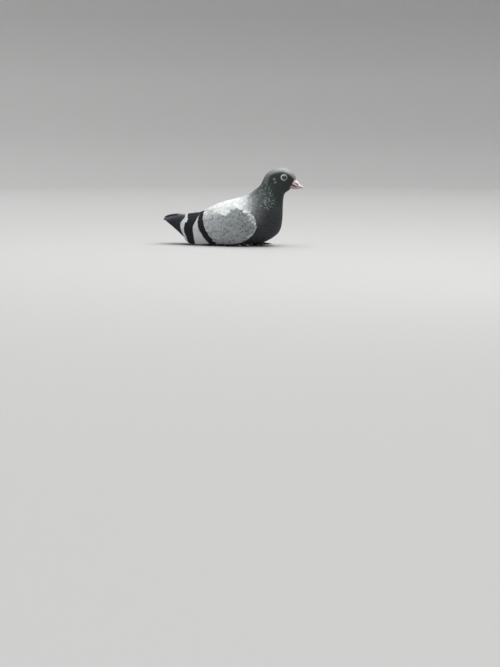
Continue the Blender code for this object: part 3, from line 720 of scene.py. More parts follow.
mantle_finish = feather_finish(
    "mantle feathers", body_group, 9.0, 0.10, 0.03, Roughness=0.7, Sheen_Weight=0.05,
)
body_finish = feather_finish(
    "body feathers", body_group, 7.0, 0.05, 0.10, Roughness=0.6, Specular_IOR_Level=0.35,
)
head_finish = feather_finish(
    "head feathers", body_group, 4.0, 0.03, 0.06, Roughness=0.6, Specular_IOR_Level=0.35,
)
print("feather finishes:", [mantle_finish.name, body_finish.name, head_finish.name])

SKIN_TONE = 0.35
skin_finish, tree, shader = new_finish("skin under the plumage", Roughness=0.8)
tree.links.new(marking_of(tree, body_group, SKIN_TONE)["Color"], shader.inputs["Base Color"])
skin_grain = use_group(tree, grain_group, {"Vector": object_place(tree), "Scale": 900.0})
bump(tree, shader, skin_grain["Height"], 0.0001, 0.4)

# %% [markdown]
# ## The skin's form
#
# The body's table is read at many places between its sections, and at each one a rounded ring is
# drawn from the back point round the breast point.

# %% Points on the body


def body_points(places, turns, inset):
    """A grid of points on the body, by place from tail to bill and by turn round it."""
    section = smooth(BODY_TABLE, places)
    back = np.stack([section[:, 0], 0 * places, section[:, 1]], -1)
    front = np.stack([section[:, 2], 0 * places, section[:, 3]], -1)
    centre, up = (back + front) / 2, (back - front) / 2
    tall = np.linalg.norm(up, axis=-1, keepdims=True)
    up = (up / tall)[:, None, :]
    turn = turns[None, :]
    roundness = np.where(turn < math.pi, BACK_ROUNDNESS, section[:, 5:6])
    cosine, sine = np.cos(turn), np.sin(turn)
    across = np.sign(cosine) * np.abs(cosine) ** (2 / roundness) * (section[:, 4:5] - inset)
    height = np.sign(sine) * np.abs(sine) ** (2 / roundness) * (tall - inset)
    return centre[:, None, :] + up * height[..., None] + np.array([0, 1.0, 0]) * across[..., None]


def grid_normals(points, closed):
    """Outward directions of a grid of points, and its direction along the rows."""
    lengthwise = np.gradient(points, axis=0)
    if closed:
        crosswise = np.roll(points, -1, axis=1) - np.roll(points, 1, axis=1)
    else:
        crosswise = np.gradient(points, axis=1)
    return unit(np.cross(crosswise, lengthwise)), unit(lengthwise)


# %% [markdown]
# The rings lie inside the outline by the depth of the coat. The belly is pressed flat, and a
# shallow cup round each eye makes room for the eyeball.

# %% Skin rings and eye sockets
SOCKET_EDGE = 1.6
SOCKET_DEPTH = 1.0
FAR_FROM_EYE = 99.0

ring_places = np.linspace(0.0, SECTIONS, SECTIONS * SKIN_RINGS_PER_SECTION + 1)
ring_turns = 2 * math.pi * (np.arange(SKIN_SEGMENTS) + 0.5) / SKIN_SEGMENTS
coat_depth = np.repeat(smooth(BODY_TABLE, ring_places)[:, 6:7], SKIN_SEGMENTS, axis=1)
skin_grid = body_points(ring_places, ring_turns, coat_depth)
skin_grid[..., 2] = np.maximum(skin_grid[..., 2], smooth(BELLY_FLOOR, skin_grid[..., 0]))
skin_normals, skin_forward = grid_normals(skin_grid, True)
eye_distance = np.full(skin_grid.shape[:2], FAR_FROM_EYE)
for turn_side in SIDES.values():
    looks = eye_direction(turn_side)
    away = skin_grid - eye_centre(turn_side)
    depth_in = away @ looks
    off_axis = np.linalg.norm(away - depth_in[..., None] * looks, axis=-1)
    near = (off_axis < 3 * SOCKET_RADIUS) & (depth_in > 0)
    eye_distance = np.where(near, np.minimum(eye_distance, off_axis), eye_distance)
    sunk = (1 - ease(SOCKET_RADIUS - SOCKET_EDGE, SOCKET_RADIUS, off_axis)) * near
    skin_grid = skin_grid - (sunk * (depth_in - SOCKET_DEPTH))[..., None] * looks

skin_round = np.repeat((0.5 - 0.5 * np.sin(ring_turns))[None, :], len(ring_places), axis=0)
skin_place = np.repeat((ring_places / SECTIONS)[:, None], SKIN_SEGMENTS, axis=1)
print("skin rings:", skin_grid.shape)

# %% [markdown]
# No feathers need to grow on the body under the folded wing, so the wing's surface is drawn here
# already: a curved sheet through its lower edge, middle and upper edge. Nothing has to grow under
# the feathers of the shoulder either, which will hang over wing and back like a cloak.

# %% Wing surface
# Wing surface: X, then lower edge Y, Z, middle Y, Z and upper edge Y, Z, in mm.
WING_SURFACE = {
    -134: (18.6, 45, 16.8, 49.6, 11, 53.4),
    -120: (21, 34.5, 20.4, 45.4, 12.5, 56),
    -110: (23.5, 26, 23.7, 41.5, 13.5, 57.6),
    -100: (26.3, 18.5, 27, 39, 12.5, 59.3),
    -90: (28.5, 12.5, 30, 36.5, 11, 59),
    -78: (30.5, 8, 33, 35.5, 9.5, 60),
    -60: (33, 6.4, 37.5, 36.5, 9.5, 61.8),
    -40: (35, 6, 41.5, 39, 12, 69.4),
    -20: (36, 5.6, 43.8, 41.5, 16, 76.6),
    0: (37, 5.4, 45, 42.5, 21, 81.6),
    20: (38, 6.5, 45, 42.5, 28, 79.5),
    36: (39.5, 10.5, 44, 42.5, 34.5, 72.5),
    48: (40.5, 17.5, 42.3, 43, 37.5, 65),
    57: (40, 27, 40.4, 44.5, 38.2, 58.5),
    62.5: (38.6, 41, 39, 46, 38.4, 51),
}
# Where the wing hides the body: from and to in X, how far from the middle, and a margin, in mm.
COVERED_X = (-84.0, 50.0)
COVERED_Y = 14.0
HIDDEN_MARGIN = 9.0


def under_wing(points):
    """Where the folded wing will hide the body."""
    x, y, z = np.moveaxis(points, -1, 0)
    surface = smooth(WING_SURFACE, x)
    lengthwise = (x > COVERED_X[0]) & (x < COVERED_X[1]) & (np.abs(y) > COVERED_Y)
    return lengthwise & (z > surface[..., 1] + HIDDEN_MARGIN) & (z < surface[..., 5] - HIDDEN_MARGIN)


# How far the cloak reaches down from the back, by X, in degrees from straight up.
CLOAK_EDGE = {
    -44: 22, -40: 31, -28: 47, -13: 61, 0: 70, 14: 69, 24: 59.5, 33: 53,
    42: 62, 50: 68, 56: 62,
}
CLOAK_AXIS_Z = 48.0
CLOAK_FRONT = 42.0
CLOAK_REAR = -36.0
CLOAK_OVERLAP = 12.0


def under_cloak(points):
    """Where the shoulder feathers will hide what lies under them."""
    turn = np.degrees(np.arctan2(np.abs(points[..., 1]), points[..., 2] - CLOAK_AXIS_Z))
    lengthwise = (points[..., 0] > CLOAK_REAR) & (points[..., 0] < CLOAK_FRONT)
    return lengthwise & (turn < smooth(CLOAK_EDGE, points[..., 0]) - CLOAK_OVERLAP)


# %% [markdown]
# Feathers are short on the face and long on the back, and stand up more on the belly of a sitting
# bird. None grow round the eye, under the wing or under the tail feathers.

# %% Guides for the coat
# Length of the small feathers in mm.
FEATHER_LENGTH = {
    "inside the tail": 9, "tail flesh": 10, "tail root": 13, "loin": 14, "belly": 13,
    "shoulder": 12.5, "crop": 11.5, "breast": 10.5, "collar": 9.2, "neck foot": 8.2, "neck": 7.4,
    "nape": 6.8, "jaw": 6.2, "ear": 5.6, "crown": 5, "brow": 4.4, "forehead": 3.6, "lore": 2.9,
    "bill root": 2.2,
}
BELLY_FLUFF, RUMP_FLUFF = 1.7, 0.7
# The lower breast's fluff: how far round it starts, and where it starts and ends in X, in mm.
BELLY_ROUND, BELLY_FRONT, BELLY_REAR = (0.68, 0.90), (88.0, 66.0), (-4.0, 20.0)
RUMP_FLUFF_X = (-84.0, -94.0)
# Behind this X the tail feathers cover the back, so nothing grows there, in mm.
TAIL_BARE_X = -96.0
BARE_ROUND_EYE = 0.8
# Pale marks behind the eye: X, Z, half-length and half-height in mm.
PALE_MARKS = ((91.9, 127.2, 2.1, 1.3), (94.4, 121.4, 1.9, 1.2))
PALE_MARK_SHARE = 0.85


def where_it_grows(points):
    """1 where small feathers grow and 0 where none do."""
    bare = under_wing(points) | under_cloak(points) | (skin_place < PLACE["tail flesh tip"])
    bare = bare | (eye_distance <= SOCKET_RADIUS + BARE_ROUND_EYE)
    bare = bare | ((points[..., 0] < TAIL_BARE_X) & (skin_round < 0.5))
    return (~bare).astype(float)


def pale_marks(points):
    """How pale the feathers are behind the eye."""
    pale = np.zeros(points.shape[:2])
    for mark_x, mark_z, half_long, half_high in PALE_MARKS:
        off = ((points[..., 0] - mark_x) / half_long) ** 2 + ((points[..., 2] - mark_z) / half_high) ** 2
        pale = np.maximum(pale, PALE_MARK_SHARE * np.exp(-off))
    return pale


def coat_guides(points):
    """What the feathers need to know at each point of the skin."""
    x = points[..., 0]
    breast_fluff = ease(*BELLY_ROUND, skin_round) * ease(*BELLY_REAR, x) * ease(*BELLY_FRONT, x)
    fluff = 1 + BELLY_FLUFF * breast_fluff + RUMP_FLUFF * ease(*RUMP_FLUFF_X, x)
    return {
        "lie": -skin_forward, "outward": skin_normals, "place": skin_place, "round": skin_round,
        "size": smooth(at_sections(FEATHER_LENGTH), skin_place), "depth": coat_depth * fluff,
        "grows": where_it_grows(points), "pale": pale_marks(points),
    }


def flattened(grids):
    """Grids of numbers or of directions as the flat lists that a mesh stores."""
    return {label: grid.reshape(grid.shape[0] * grid.shape[1], -1).squeeze() for label, grid in grids.items()}


skin_guides = flattened(coat_guides(skin_grid))
print("feathers grow on", int(skin_guides["grows"].sum()), "of", skin_guides["grows"].size, "points")

# %% [markdown]
# The skin is unrolled: once round the body is the map's width, and tail to bill its height. The
# two end faces get small discs in the corners.

# %% Skin's bake map
CHART_LEFT, CHART_WIDTH = 0.02, 0.94
CHART_FOOT, CHART_HEIGHT = 0.04, 0.92
END_DISCS = ((0.010, 0.010), (0.010, 0.985))
END_DISC_RADIUS = 0.006


def body_chart(mesh, rows, columns):
    """A place in the unit square for each corner of the body's faces."""
    index = corner_points(mesh)
    row, column = index // columns, index % columns
    count = len(mesh.polygons)
    totals = np.zeros(count, int)
    mesh.polygons.foreach_get("loop_total", totals)
    face_of = np.repeat(np.arange(count), totals)
    closes_ring = (np.arange(count) % columns == columns - 1) & (np.arange(count) < count - 2)
    column = np.where(closes_ring[face_of] & (column == 0), columns, column)
    across = CHART_LEFT + CHART_WIDTH * column / columns
    corners = np.stack([across, CHART_FOOT + CHART_HEIGHT * row / (rows - 1)], -1)
    for face, (left, foot) in zip((count - 2, count - 1), END_DISCS):
        mine = face_of == face
        turn = 2 * math.pi * column[mine] / columns
        disc = np.stack([np.cos(turn), np.sin(turn)], -1)
        corners[mine] = (left, foot) + END_DISC_RADIUS * disc
    return corners


# %% [markdown]
# The skin carries what the feathers need to know where they grow. A second copy of it, never shown,
# guides them, so that they lie on the body like tiles instead of sticking straight out.

# %% Skin and guide


def body_mesh(name, finish):
    """The body's grid as a closed mesh, with its bake map and the guides for feathers."""
    rows, columns = skin_grid.shape[:2]
    obj = new_piece(name, skin_grid.reshape(-1, 3), tube_faces(rows, columns), finish, skin_guides)
    add_chart(obj.data, body_chart(obj.data, rows, columns))
    return obj


skin = face_outwards(body_mesh("skin", skin_finish))
guide = body_mesh("guide", None)
guide.hide_render = guide.hide_viewport = True
settle(skin, "body_plumage", "torso", "neck", "head")

# %% [markdown]
# ## One small feather
#
# All small feathers are copies of one blank, one unit long and wide: a leaf of a few faces, thin at
# its rim and raised along its shaft.

# %% Feather blanks
RIM_ANGLE = math.radians(70.0)
TIP_BULGE = 0.06
RIB_FALL = 0.6
# Width of a small feather by share of its length.
SMALL_VANE = {0.0: 0.34, 0.26: 0.80, 0.52: 1.0, 0.76: 0.96, 0.92: 0.66, 1.0: 0.22}
SLIM_VANE = {0.0: 0.4, 0.4: 1.0, 0.78: 0.86, 1.0: 0.2}


def lens_faces(rows, columns):
    """Faces of a closed leaf, whose underside shares the rim of its top grid."""
    top = np.arange(rows * columns).reshape(rows, columns)
    under = top.copy()
    inner = (rows - 2) * (columns - 2)
    under[1:-1, 1:-1] = rows * columns + np.arange(inner).reshape(rows - 2, columns - 2)
    faces = []
    for sheet, order in ((top, 1), (under, -1)):
        quads = np.stack([sheet[:-1, :-1], sheet[1:, :-1], sheet[1:, 1:], sheet[:-1, 1:]], -1).reshape(-1, 4)
        faces += [tuple(int(v) for v in quad[::order]) for quad in quads]
    return faces


def lens_points(top, under):
    """The points that lens_faces counts, from two grids."""
    wide = top.shape[-1]
    return np.concatenate([top.reshape(-1, wide), under[1:-1, 1:-1].reshape(-1, wide)])


def leaf_values(along, across):
    """How far along and across its feather each point of a leaf lies."""
    return {
        "along": lens_points(along[..., None], along[..., None])[:, 0],
        "across": lens_points(across[..., None], across[..., None])[:, 0],
    }


def feather_blank(name, outline, columns, rib, thickness):
    """A flat leaf along +X, one long and one wide, that knows where on it each point is."""
    along, across = np.meshgrid(list(outline), np.linspace(-1, 1, columns), indexing="ij")
    half = np.array(list(outline.values()))[:, None] * 0.5
    tip_round = TIP_BULGE * (along > 0.99) * (1 - across**2)
    flat = np.stack([along + tip_round, across * half, 0 * along], -1)
    rise = (rib * (1 - np.abs(across)) * (1 - RIB_FALL * along))[..., None]
    values = {**leaf_values(along, across), "rib": lens_points(rise, rise - thickness)[:, 0]}
    obj = new_piece(name, lens_points(flat, flat) / MM, lens_faces(*along.shape), None, values)
    obj.data.set_sharp_from_angle(angle=RIM_ANGLE)
    obj.hide_render = obj.hide_viewport = True
    print(name, "has", 2 * len(obj.data.polygons), "triangles")
    return obj


slim_blank = feather_blank("slim feather", SLIM_VANE, 3, 0.05 * MM, 0.07 * MM)
small_blank = feather_blank("small feather", SMALL_VANE, 3, 0.10 * MM, 0.12 * MM)
large_blank = feather_blank("large feather", SMALL_VANE, 5, 0.14 * MM, 0.16 * MM)

# %% [markdown]
# ## Plumage from Geometry Nodes
#
# Real feathers grow at an even distance, but not on a grid. Particle hair could scatter them, but
# it isn't kept as mesh. A Poisson disk scatter in Geometry Nodes is, and one tree with a named input
# for each size serves the whole bird.

# %% Inputs of the plumage tree
PLUMAGE_INPUTS = {
    "Geometry": ["Geometry"], "Object": ["Blank", "Guide"], "Material": ["Finish"],
    "Float": ["Spacing", "Tries", "Length", "Width", "Wobble", "From Place", "To Place"], "Int": ["Seed"],
}
VECTOR = "FLOAT_VECTOR"


def plumage_sockets(tree):
    """Gives the tree its inputs and its output."""
    for kind, labels in PLUMAGE_INPUTS.items():
        for label in labels:
            tree.interface.new_socket(label, in_out="INPUT", socket_type=f"NodeSocket{kind}")
    tree.interface.new_socket("Geometry", in_out="OUTPUT", socket_type="NodeSocketGeometry")
    return tree.nodes.new("NodeGroupInput").outputs, tree.nodes.new("NodeGroupOutput").inputs


def named(tree, label, kind="FLOAT"):
    """A value stored on the mesh."""
    node = add(tree, "GeometryNodeInputNamedAttribute", {"Name": label}, data_type=kind)
    return node.outputs["Attribute"]


def stored(tree, geometry, label, value, kind="FLOAT"):
    """The geometry with a value stored on it."""
    inputs = {"Geometry": geometry, "Name": label, "Value": value}
    return add(tree, "GeometryNodeStoreNamedAttribute", inputs, data_type=kind).outputs["Geometry"]


def chance(tree, given, low, high, number):
    """A random value for each feather. Each number gives a draw of its own."""
    seed = maths(tree, "ADD", given["Seed"], number)
    node = add(tree, "FunctionNodeRandomValue", {"Seed": seed, 2: low, 3: high}, data_type="FLOAT")
    return node.outputs[1]


# %% [markdown]
# First the roots: points scattered where feathers grow, each with a random tone for its copy.

# %% Roots of the feathers


def feather_roots(tree, given):
    """Points where feathers are rooted, each with its own chances."""
    place = named(tree, "place")
    past_first = maths(tree, "GREATER_THAN", place, given["From Place"])
    before_last = maths(tree, "LESS_THAN", place, given["To Place"])
    grows = maths(tree, "GREATER_THAN", named(tree, "grows"), 0.5)
    scatter = add(tree, "GeometryNodeDistributePointsOnFaces", {
        "Mesh": given["Geometry"], "Distance Min": given["Spacing"], "Density Max": given["Tries"],
        "Density Factor": times(tree, grows, times(tree, past_first, before_last)), "Seed": given["Seed"],
    }, distribute_method="POISSON")
    points = stored(tree, scatter.outputs["Points"], "tone", chance(tree, given, 0.0, 1.0, 11))
    points = stored(tree, points, "loft", chance(tree, given, 0.93, 1.05, 12))
    return stored(tree, points, "chart", named(tree, CHART_NAME, VECTOR), VECTOR)


# %% [markdown]
# Then the copies: a blank is turned to the lie of the coat, swung a little, sized and made real.

# %% Copies of the blank


def feather_copies(tree, given, points):
    """A copy of the blank at every root."""
    turn = add(
        tree, "FunctionNodeAxesToRotation",
        {0: named(tree, "outward", VECTOR), 1: named(tree, "lie", VECTOR)},
        primary_axis="Z", secondary_axis="X",
    ).outputs[0]
    swing = times(tree, chance(tree, given, -1.0, 1.0, 13), given["Wobble"])
    swing = add(tree, "ShaderNodeCombineXYZ", {"Z": swing}).outputs[0]
    swing = add(tree, "FunctionNodeEulerToRotation", {"Euler": swing}).outputs[0]
    turned = add(
        tree, "FunctionNodeRotateRotation", {"Rotation": turn, "Rotate By": swing}, rotation_space="LOCAL",
    ).outputs[0]
    size = times(tree, named(tree, "size"), chance(tree, given, 0.86, 1.14, 14))
    scale = add(tree, "ShaderNodeCombineXYZ", {
        "X": times(tree, size, given["Length"]), "Y": times(tree, size, given["Width"]), "Z": 1.0,
    }).outputs[0]
    blank = add(tree, "GeometryNodeObjectInfo", {"Object": given["Blank"]}).outputs["Geometry"]
    copies = add(tree, "GeometryNodeInstanceOnPoints", {
        "Points": points, "Instance": blank, "Rotation": turned, "Scale": scale,
    }).outputs[0]
    return add(tree, "GeometryNodeRealizeInstances", {"Geometry": copies}).outputs[0]


# %% [markdown]
# Last, every point is laid down on the guide. A feather rises from its sunken root along its
# length, so that its tip lies on the feathers behind it.

# %% Laying the feathers down
ROOT_SUNK = 0.25


def laid_down(tree, given, feathers):
    """The feathers with every point at its height over the guide."""
    guide_mesh = add(tree, "GeometryNodeObjectInfo", {"Object": given["Guide"]}).outputs["Geometry"]
    on_guide, outward = (
        add(tree, "GeometryNodeSampleNearestSurface", {"Mesh": guide_mesh, "Value": value}, data_type=VECTOR)
        for value in (add(tree, "GeometryNodeInputPosition").outputs[0], named(tree, "outward", VECTOR))
    )
    rise = maths(tree, "SUBTRACT", maths(tree, "POWER", named(tree, "along"), 0.5), ROOT_SUNK)
    height = times(tree, times(tree, named(tree, "depth"), MM), named(tree, "loft"))
    height = times(tree, height, rise)
    height = maths(tree, "ADD", height, named(tree, "rib"))
    upward = vector_maths(tree, "NORMALIZE", outward.outputs["Value"])
    return add(tree, "GeometryNodeSetPosition", {
        "Geometry": feathers, "Position": on_guide.outputs["Value"],
        "Offset": vector_maths(tree, "SCALE", upward, height),
    }).outputs[0]


def plumage_tree():
    """Geometry Nodes that grow feathers on a skin."""
    tree = bpy.data.node_groups.new("plumage", "GeometryNodeTree")
    given, gives = plumage_sockets(tree)
    feathers = feather_copies(tree, given, feather_roots(tree, given))
    feathers = laid_down(tree, given, feathers)
    finished = add(tree, "GeometryNodeSetMaterial", {"Geometry": feathers, "Material": given["Finish"]})
    tree.links.new(finished.outputs[0], gives["Geometry"])
    return tree


plumage = plumage_tree()
print("the plumage tree has", len(plumage.nodes), "nodes")

# %% [markdown]
# The tree is hung on a copy of the skin and kept as plain mesh. Each feather gets a small patch of
# the bake map, and none may reach through the floor.

# %% Growing feathers
FEATHER_VALUES = ("along", "across", "tone", "place", "round", "pale")
MESH_VALUES = ("position", "sharp_face", "sharp_edge")
PATCH = 0.003
CHART_RIM = 0.001
FLOOR_CLEARANCE = 0.25 * MM
TRIES_FOR_EACH = 2.2


def read_values(mesh, label, wide=1):
    """A stored value of every point, as an array."""
    values = np.zeros(len(mesh.vertices) * wide, np.float32)
    mesh.attributes[label].data.foreach_get("value" if wide == 1 else "vector", values)
    return values if wide == 1 else values.reshape(-1, wide)


def patch_corners(mesh):
    """Places in the bake map: a patch at each feather's root on the skin's own map."""
    across, along = read_values(mesh, "across"), read_values(mesh, "along")
    places = read_values(mesh, "chart", 3)[:, :2] + np.stack([across * 0.5, along - 0.5], -1) * PATCH
    return np.clip(places, CHART_RIM, 1 - CHART_RIM)[corner_points(mesh)]


def drop_working_values(mesh):
    """Removes what only the growing needed."""
    for label in [a.name for a in mesh.attributes]:
        if not (label in FEATHER_VALUES + MESH_VALUES or label.startswith(".")):
            mesh.attributes.remove(mesh.attributes[label])


def grow(name, host, guide_object, finish, blank, **sizes):
    """Feathers over a host mesh, as a plain mesh with its bake map."""
    obj = bpy.data.objects.new(name, host.data.copy())
    obj.data.materials.clear()
    bpy.context.scene.collection.objects.link(obj)
    modifier = obj.modifiers.new("plumage", "NODES")
    modifier.node_group = plumage
    sockets = {s.name: s.identifier for s in plumage.interface.items_tree if s.in_out == "INPUT"}
    tries = TRIES_FOR_EACH / sizes["Spacing"] ** 2
    values = {"Blank": blank, "Guide": guide_object, "Finish": finish, "Tries": tries, "To Place": 1.0}
    for label, value in {**values, **sizes}.items():
        modifier[sockets[label]] = value
    baked(obj)
    corners = patch_corners(obj.data)
    drop_working_values(obj.data)
    add_chart(obj.data, corners)
    kept_above(obj.data, FLOOR_CLEARANCE)
    obj.data.materials.clear()
    obj.data.materials.append(finish)
    obj.data.shade_smooth()
    print(name, "grew", round(len(obj.data.vertices) / len(blank.data.vertices)), "feathers")
    return obj


# %% [markdown]
# The coat is grown in bands from tail to bill. Each has feathers closer together than the one
# behind it, while their length falls smoothly, so no seam shows.

# %% Body, neck and head feathers
# First and last section, spacing in mm, width as a share of the length, blank, finish and slot.
COAT_BANDS = {
    "rump_feathers": ("tail flesh tip", "loin", 2.4, 0.54, small_blank, body_finish, "body_plumage"),
    "body_feathers": ("loin", "crop", 2.2, 0.54, small_blank, body_finish, "body_plumage"),
    "breast_feathers": ("crop", "collar", 1.7, 0.50, small_blank, body_finish, "neck_plumage"),
    "neck_feathers": ("collar", "nape", 1.3, 0.42, small_blank, body_finish, "neck_plumage"),
    "nape_feathers": ("nape", "ear", 0.80, 0.27, slim_blank, head_finish, "head_plumage"),
    "crown_feathers": ("ear", "brow", 0.62, 0.22, slim_blank, head_finish, "head_plumage"),
    "face_feathers": ("brow", "bill root", 0.52, 0.22, slim_blank, head_finish, "head_plumage"),
}
BODY_WOBBLE = 0.12
FIRST_SEED = 3

for number, (band, (first, last, spacing, slimness, blank, finish, slot)) in enumerate(COAT_BANDS.items()):
    feathers = grow(
        band, skin, guide, finish, blank,
        **{"Spacing": spacing * MM, "Length": MM, "Width": slimness * MM, "Wobble": BODY_WOBBLE,
           "Seed": FIRST_SEED + number, "From Place": PLACE[first], "To Place": PLACE[last]},
    )
    settle(feathers, slot)

# %% [markdown]
# ## The folded wing
#
# Small coverts cover the front of a folded wing like fish scales. The greater coverts come out from
# under them with black ends, the first bar. Then come the secondaries, crossed by the second bar,
# and the long dark primaries beside the tail. All are laid out by rule on one wing surface.

# %% Points on the wing
WING_FRONT_X = 62.5
WIDTH_SAMPLES = 9


def wing_sheet(x, across):
    """Points on the right wing's surface itself."""
    table = smooth(WING_SURFACE, x)
    low, mid, top = table[..., 0:2], table[..., 2:4], table[..., 4:6]
    bulge = 2 * mid - (low + top) / 2
    share = across[..., None]
    yz = (1 - share) ** 2 * low + 2 * share * (1 - share) * bulge + share**2 * top
    return np.stack([x, -yz[..., 0], yz[..., 1]], -1)


def wing_points(x, across, lift=0.0):
    """Points at a height over the right wing's surface, and the way out of it."""
    x, across = np.broadcast_arrays(np.asarray(x, float), np.asarray(across, float))
    lengthwise = wing_sheet(x + 0.5, across) - wing_sheet(x - 0.5, across)
    crosswise = wing_sheet(x, across + 0.01) - wing_sheet(x, across - 0.01)
    normal = np.cross(lengthwise, crosswise)
    normal = unit(normal * -np.sign(normal[..., 1:2]))
    return wing_sheet(x, across) + normal * np.asarray(lift)[..., None], normal


def wing_width(x):
    """How wide the wing is at an X, in mm along its curve."""
    x = np.repeat(np.asarray(x, float)[..., None], WIDTH_SAMPLES, -1)
    points = wing_points(x, np.linspace(0, 1, WIDTH_SAMPLES))[0]
    return np.linalg.norm(np.diff(points, axis=-2), axis=-1).sum(-1)


print("the wing is", round(float(wing_width(0.0)), 1), "mm wide at its middle")

# %% [markdown]
# Three lines bound the black bars: where the first starts, and where the second starts and ends.
# Each is a short table over the wing's width, from its lowest feather to its highest.

# %% Bars across the wing
FIRST_BAR_FRONT = {0: -18.5, 0.12: -23.5, 0.35: -34, 0.57: -41, 0.85: -47, 1: -49}
SECOND_BAR_FRONT = {0: -63, 0.15: -63, 0.5: -64, 0.64: -61, 0.8: -59.5, 1: -55}
SECOND_BAR_REAR = {
    0: -78, 0.15: -80.5, 0.25: -83.5, 0.5: -84.5, 0.6: -83.5, 0.66: -80, 0.8: -83, 1: -87,
}
# The first bar has no rear line: it runs out to the tips of its feathers, so this lies behind them.
BEHIND_THE_TIPS = {0: -200, 1: -200}
NO_BAR = (-9.0, 9.0)

# %% [markdown]
# Roots and tips say where a row's feathers start and end, spread how much of the wing's width they
# take, lift how high they lie, and slant how far each one tilts like a roof tile.

# %% Rows of long feathers
WING_ROWS = {
    "primaries": {
        "count": 10,
        "roots": {0: -30, 1: -45},
        "tips": {0: -133, 0.12: -130, 0.3: -123, 0.5: -114.5, 0.75: -104, 1: -95},
        "spread": {
            -134: (0.50, 1.10), -127: (0.40, 1.75), -120: (0.30, 1.80), -110: (0.20, 1.42),
            -100: (0.15, 1.10), -90: (0.12, 0.88), -58: (0.10, 0.62), -30: (0.10, 0.50),
        },
        "lift": {-134: 5.4, -120: 2.6, -105: 0, -88: -1.7, -30: -1.7},
        "slant": {-134: 0, -105: 0, -95: 0.3, -80: 0.8, -65: 1, -30: 1},
        "tip_lift": None, "half_width": 6.2, "step": 0.62, "bar": None,
    },
    "secondaries": {
        "count": 13,
        "roots": {0: -24, 0.5: -42, 1: -46},
        "tips": {0: -84, 0.15: -88.5, 0.25: -91.5, 0.5: -93.5, 0.64: -90, 0.8: -88, 1: -87},
        "spread": {-95: (0.05, 0.95), -20: (0.06, 0.92)},
        "lift": {-95: 1.5, -60: 1.8, -20: 1.4},
        "slant": {-95: 1, -20: 1},
        "tip_lift": None, "half_width": 6.4, "step": 0.62, "bar": (SECOND_BAR_FRONT, SECOND_BAR_REAR),
    },
    "greater_coverts": {
        "count": 15,
        "roots": {0: 8, 0.5: -12, 1: -20},
        "tips": {0: -34.5, 0.12: -41, 0.35: -50.6, 0.57: -55.6, 0.85: -58, 1: -59.5},
        "spread": {-62: (0.04, 0.95), 30: (0.10, 0.86)},
        "lift": {-62: 0, 30: 0},
        "slant": {-62: 1, 30: 1},
        "tip_lift": {0: 3.2, 9: 2.7, 20: 1.3, 35: 0.2, 60: -0.4}, "half_width": 6.3, "step": 0.5,
        "bar": (FIRST_BAR_FRONT, BEHIND_THE_TIPS),
    },
}
print("long feathers on each wing:", {name: row["count"] for name, row in WING_ROWS.items()})

# %% [markdown]
# A long feather could be a bent copy of a blank, but each has its own curve over the wing. So its
# points are worked out where it lies, with a raised shaft and a thin, closed underside.

# %% One long feather
LONG_VANE = {0: 0.5, 0.15: 0.8, 0.4: 1, 0.7: 1, 0.86: 0.88, 0.94: 0.66, 0.98: 0.42, 1: 0.16}
LONG_ROWS = 20
LONG_ROWS_CROWDED = 1.35
LONG_COLUMNS = np.array([-1.0, -0.8, -0.5, -0.2, -0.06, 0.0, 0.06, 0.2, 0.5, 0.8, 1.0])
# Thickness, height of the shaft, height of the vane's crown and roundness of the tip, in mm.
LONG_THICKNESS = 0.36
LONG_RIB = 0.28
LONG_CROWN = 0.22
LONG_TIP = 0.9
SHAFT_WIDTH = 0.07


def long_leaf(top, outward, along, across):
    """The points of one long feather on a surface."""
    rib = LONG_RIB * np.exp(-((across / SHAFT_WIDTH) ** 2)) * (1 - 0.7 * along)
    crown = LONG_CROWN * (1 - across**2)
    upper = top + outward * (rib + crown)[..., None]
    lower = upper - outward * (LONG_THICKNESS * (1 - 0.4 * across**2))[..., None]
    return lens_points(upper, lower)


def rounded_tip(along, across):
    """How far the sides of a feather's tip fall back from its middle, in mm."""
    return LONG_TIP * (1 - across**2) * ease(0.9, 1.0, along)


ROW_CHART_HALF = 0.45
ROW_CHART_FOOT, ROW_CHART_HEIGHT = 0.02, 0.96
draws = np.random.default_rng(41)


def long_feathers(name, lay, count, finish):
    """A row of long feathers as one mesh, each laid out by lay(index, along, across)."""
    along = 1 - (1 - np.linspace(0, 1, LONG_ROWS)) ** LONG_ROWS_CROWDED
    along, across = np.meshgrid(along, LONG_COLUMNS, indexing="ij")
    # Along runs towards the tail, so each face is turned round to look outwards.
    shape = [face[::-1] for face in lens_faces(*along.shape)]
    points, faces = [], []
    values = {label: [] for label in ("along", "across", "tone", "bar_from", "bar_to")}
    for index in range(count):
        top, outward, (bar_from, bar_to) = lay(index, along, across)
        points.append(long_leaf(top, outward, along, across))
        size = len(points[-1])
        faces += [tuple(v + index * size for v in face) for face in shape]
        constants = {"tone": draws.random(), "bar_from": bar_from, "bar_to": bar_to}
        own = {**leaf_values(along, across), **{k: np.full(size, v) for k, v in constants.items()}}
        for label, value in own.items():
            values[label].append(value)
    merged = {label: np.concatenate(parts) for label, parts in values.items()}
    obj = new_piece(name, np.concatenate(points), faces, finish, merged)
    obj.data.set_sharp_from_angle(angle=RIM_ANGLE)
    cell = np.repeat(np.arange(count), size)
    chart_x = (cell + 0.5 + ROW_CHART_HALF * merged["across"]) / count
    chart = np.stack([chart_x, ROW_CHART_FOOT + ROW_CHART_HEIGHT * merged["along"]], -1)
    add_chart(obj.data, chart[corner_points(obj.data)])
    return obj


# %% [markdown]
# Each feather lies over the one below it, so only a strip of it is seen. The bars have to meet from
# strip to strip, so each feather takes the bar's place from the middle of its own strip.

# %% How a wing row lies
# Near its upper edge a feather may not leave the wing: from here on it is held back, softly.
EDGE_FROM, EDGE_SOFT = 0.86, 0.12
TIP_SCATTER = 0.6
ROOT_SINK = 1.4


